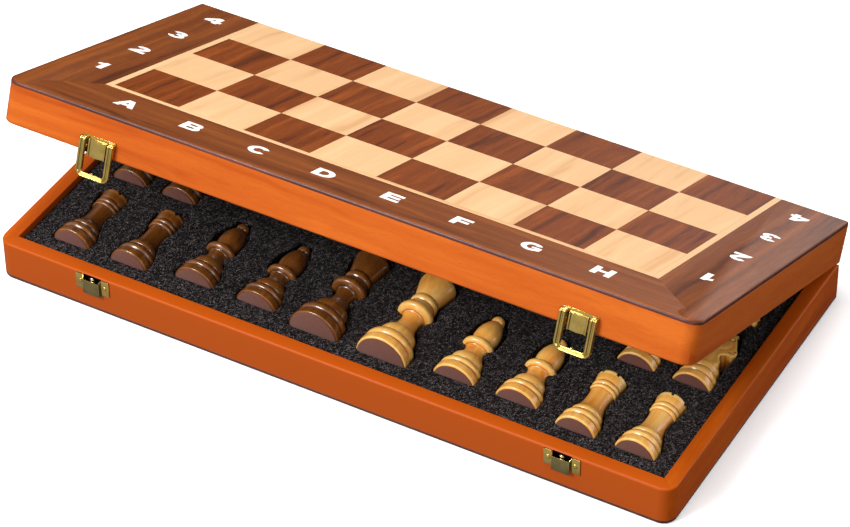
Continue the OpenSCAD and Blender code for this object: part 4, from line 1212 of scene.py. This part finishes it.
def bail_shell(x0, rng):
    """One loop, drawn hanging closed: a pressed section swept round a U, with a nib and two pins."""
    shell = Shell()
    grain = grain_along("z", rng)
    z0 = PIVOT_Z - BAIL_DROP
    outer, inner, drop, least = [], [], [], []
    for z, back in ((1.0, 2.1), (0.75, 1.3), (0.3, 0.62), (-0.4, 0.2), (-1.2, 0.0)):
        outer.append((-13, PIVOT_Z + z))
        inner.append((-8.2, PIVOT_Z + z))
        drop.append(back)
        least.append(0.3)
    steps = 12
    for k in range(steps + 1):
        a = math.radians(180 + 90 * k / steps)
        outer.append((-7.5 + 5.5 * math.cos(a), z0 + 5.5 + 5.5 * math.sin(a)))
        inner.append((-6.9 + 1.3 * math.cos(a), z0 + 5.1 + 1.3 * math.sin(a)))
        drop.append(0.0)
        least.append(0.3 + 1.1 * min(1, k / 4))  # the bar passes in front of the catch's pocket
    outer += [(-x, z) for x, z in reversed(outer)]
    inner += [(-x, z) for x, z in reversed(inner)]
    drop += drop[::-1]
    least += least[::-1]
    section = BAIL_FRONT + BAIL_BACK
    m = len(section)
    verts = []
    for (ox, oz), (ix, iz), back, floor_w in zip(outer, inner, drop, least):
        for f, w in section:
            w -= back
            if f < 0.2:
                w = max(w, -0.9)
            elif w < floor_w:
                w = floor_w - 0.06 * (floor_w - w)
            verts.append((ox + (ix - ox) * f, PIVOT_OUT + w, oz + (iz - oz) * f))
    faces = [list(range(m)), [len(verts) - 1 - i for i in range(m)]]
    for k in range(len(outer) - 1):
        faces += [[k * m + i, (k + 1) * m + i, (k + 1) * m + (i + 1) % m, k * m + (i + 1) % m]
                  for i in range(m)]
    bm = bmesh_of(verts, faces)
    bm.verts.index_update()
    faces = [[v.index for v in f.verts][::-1] for f in bm.faces]
    bm.free()
    shell.add([(x0 + x, FRONT - w, z) for x, w, z in verts], faces, 0, grain)
    on_front(shell, x0, *block(-0.9, 0.9, PIVOT_OUT + 1.5, PIVOT_OUT + 2.5, z0 + 3.4, z0 + 4.6, 0.25), 0,
             grain)
    for s in (-1, 1):
        xa, xb = sorted((s * 8.4, s * 12.6))
        pin = [(PIVOT_OUT + x, PIVOT_Z + z) for x, z in arc(0, 0, 0.6, 0, 345, 23)]
        on_front(shell, x0, *extruded(pin, xa, xb, "x", 0.08), 0, grain)
    return shell


# ------------------------------------------------------------------ pieces
seed = random.Random(64)
for tray, place in (("base", BASE), ("lid", LID)):
    rails = {}
    for side in ("front", "back", "left", "right"):
        name = f"{tray}_{side}_rail"
        rails[side] = piece(
            "wood_" + name, rail_shell(side, seed), tray, [M[tray]], [name], place
        )
    piece(f"board_{tray}", panel_shell(seed), tray, [M["panel"]], [f"{tray}_panel"], place)
    piece(f"border_{tray}", border_shell(seed), tray, [M["border"]], [f"{tray}_border_veneer"],
          place)
    odd = 0 if tray == "base" else 1
    light = squares_shell(odd, seed)
    add_stringing(light, seed)
    piece(f"maple_{tray}", light, tray, [M["maple"]], [f"{tray}_light_squares"], place)
    dark = squares_shell(1 - odd, seed)
    piece(f"walnut_{tray}", dark, tray, [M["walnut"]], [f"{tray}_dark_squares"], place)
    ranks = "8765" if tray == "base" else "1234"
    piece(f"notation_{tray}", notation_shell(ranks, tray == "base", seed), tray, [M["ink"]], place=place)
    # The cut faces take the near-black recess material: painted shade in the hinge recesses and the
    # mortises.
    for step, tools in enumerate(hinge_room()):
        cut(rails["back"], tools, f"hinge_room_{step}", M["recess"], place)
    if tray == "base":
        mortises = [block(x - 6.9, x + 6.9, FRONT - 1, FRONT + 2.5, 17.0, 29.6, 0.4)
                    for x in (-LATCH_X, LATCH_X)]
        cut(rails["front"], mortises, "mortises", M["recess"])

foam = piece("foam_insert", foam_shell(seed), "base", [M["foam"]], ["base_foam"], sharp=60)
lining = piece("foam_lining", lining_shell(seed), "lid", [M["lining"]], ["lid_lining"], LID,
               sharp=60)

catches, catch_pins = Shell(), Shell()
for x0 in (-LATCH_X, LATCH_X):
    catches.merge(catch_shell(x0, seed))
    catch_pins.merge(catch_nails(x0, seed))
piece("brass_catches", catches, "base", [M["brass"], M["catch"]], ["catch_plates"], sharp=30)
piece("round_nails", catch_pins, "base", [M["brass"], M["steel"]], ["catch_nails"])
piece("brass_latches", latch_shell(seed), "lid", [M["brass"]], ["latch_plates"],
      CLOSED_TO_OPEN, sharp=30)
for name, x0 in (("left_bail", -LATCH_X), ("right_bail", LATCH_X)):
    piece("brass_" + name, bail_shell(x0, seed), name, [M["brass"]], [name], CLOSED_TO_OPEN,
          sharp=50)

for name in ("hinge_base_leaves", "hinge_lid_leaves", "hinge_pins", "hinge_base_screws",
             "hinge_lid_screws"):
    data = frame["nodes"][name].data
    data.materials.clear()
    data.materials.append(M["hinge"])

# How a man lies in his pocket: mm to the right, degrees his head swings left, degrees his head rises
LIES = {"light_king": (-0.9, 0.6, 0.8), "light_rook_a": (-0.9, 1.0, 0), "light_rook_b": (-0.5, 0.6, 0),
        "light_bishop_a": (0, 0.7, 3.0), "light_bishop_b": (0, 0.3, 3.0), "bishop": (0.6, 0, 3.0)}
LAID = Matrix(((1, 0, 0, 0), (0, 0, 1, 0), (0, -1, 0, 0), (0, 0, 0, 1)))
for name in MEN:
    shade_name, kind = name.split("_")[:2]
    x, y, z = man_place(name)
    turn = 0 if kind in ("knight", "king") else seed.uniform(0, 2 * math.pi)
    if kind == "rook":
        turn = seed.choice((0, 0.2, -0.25, 0.45, 1.1))
    across, lean, rise = LIES.get(name, LIES.get(kind, (0, 0, 0)))
    tip = Matrix.Rotation(math.radians(lean), 4, "Z") @ Matrix.Rotation(math.radians(rise), 4, "X")
    place = Matrix.Translation((x + across, y, z)) @ tip @ LAID @ Matrix.Rotation(turn, 4, "Z")
    face = -1 if shade_name == "dark" else 1
    dark = shade_name == "dark"
    piece(
        "man_" + name, man_shell(kind, face, seed), name, [M["brown" if dark else "box"], M["felt"]],
        [name],
        place, sharp=32,
    )

# ------------------------------------------------------------------ floor, light, camera
floor_mesh = bpy.data.meshes.new("floor")
FLOOR_RADIUS, FLOOR_Z = 6.0, -0.0001  # in m; a little below the print under the case
rim = arc(0, 0, FLOOR_RADIUS, 0, 355, 71)
floor_mesh.from_pydata([(x, y, FLOOR_Z) for x, y in rim], [], [list(range(len(rim)))])
floor = link("floor", floor_mesh)
floor.visible_diffuse = floor.visible_glossy = False
paper = Tree("floor_paper")
paper.put("Base Color", paper.mix(paper.noise(paper.node("ShaderNodeTexCoord").outputs["Object"], 3.0),
                                  (0.95, 0.95, 0.95, 1), (0.97, 0.97, 0.97, 1)))
paper.put("Roughness", 0.9)
paper.put("Specular IOR Level", 0.1)
paper.put("Emission Color", (1, 1, 1, 1))
paper.put("Emission Strength", 0.3)
floor_mesh.materials.append(paper.mat)

# The room: dim below, a paler ceiling, a light wall behind to the right, some light in front
world = bpy.data.worlds.new("studio")
bpy.context.scene.world = world
world.use_nodes = True
sky = world.node_tree
coord = sky.nodes.new("ShaderNodeTexCoord").outputs["Generated"]


def room(direction, stops):
    """A grey that changes with how far a direction turns towards the given one."""
    dot = sky.nodes.new("ShaderNodeVectorMath")
    dot.operation = "DOT_PRODUCT"
    dot.inputs[1].default_value = direction
    sky.links.new(coord, dot.inputs[0])
    part = sky.nodes.new("ShaderNodeMapRange")
    part.inputs["From Min"].default_value = -1
    sky.links.new(dot.outputs["Value"], part.inputs["Value"])
    ramp = sky.nodes.new("ShaderNodeValToRGB")
    sky.links.new(part.outputs["Result"], ramp.inputs[0])
    e = ramp.color_ramp.elements
    while len(e) < len(stops):
        e.new(0.5)
    for k, (at, grey) in enumerate(stops):
        e[k].position, e[k].color = (at + 1) / 2, (grey, grey, grey, 1)
    return ramp.outputs[0]


def both(a, b, operation):
    n = sky.nodes.new("ShaderNodeVectorMath")
    n.operation = operation
    sky.links.new(a, n.inputs[0])
    sky.links.new(b, n.inputs[1])
    return n.outputs[0]


height = room((0, 0, 1), [(-1, 0.06), (0.0, 0.05), (0.9, 0.3)])
wall = both(room((0.5, 0.866, 0), [(0.62, 0), (0.74, 2.0)]),
            room((0, 0, 1), [(-0.12, 0), (-0.03, 1), (0.3, 1), (0.6, 0)]), "MULTIPLY")
front = room((-0.45, -0.89, 0), [(-0.1, 0), (0.9, 0.55)])
sky.links.new(both(both(height, wall, "ADD"), front, "ADD"), sky.nodes["Background"].inputs["Color"])


def softbox(name, at, size, watts):
    """A rectangular light that faces the middle of the case."""
    data = bpy.data.lights.new(name, "AREA")
    data.shape, data.size, data.size_y, data.energy = "RECTANGLE", size[0], size[1], watts
    obj = link(name, data)
    obj.location = at
    obj.rotation_euler = (-Vector(at)).to_track_quat("-Z", "Y").to_euler()


softbox("key", (-0.9, -1.6, 1.6), (0.9, 0.7), 46)
softbox("fill", (1.5, -0.9, 1.1), (0.8, 0.8), 7)
softbox("overhead", (-0.2, 0.0, 2.1), (1.1, 0.9), 31)

lens = bpy.data.cameras.new("photo_view")
lens.lens, lens.sensor_width, lens.clip_start = 153.9236, 36.0, 0.05
camera = link("photo_view", lens)
camera.location = (0.92397402, -1.60993821, 1.60562494)
camera.rotation_mode = "QUATERNION"
camera.rotation_quaternion = (0.87893632, 0.40420596, 0.10901890, 0.22848057)
bpy.context.scene.camera = camera
bpy.context.scene.view_settings.view_transform = "Standard"
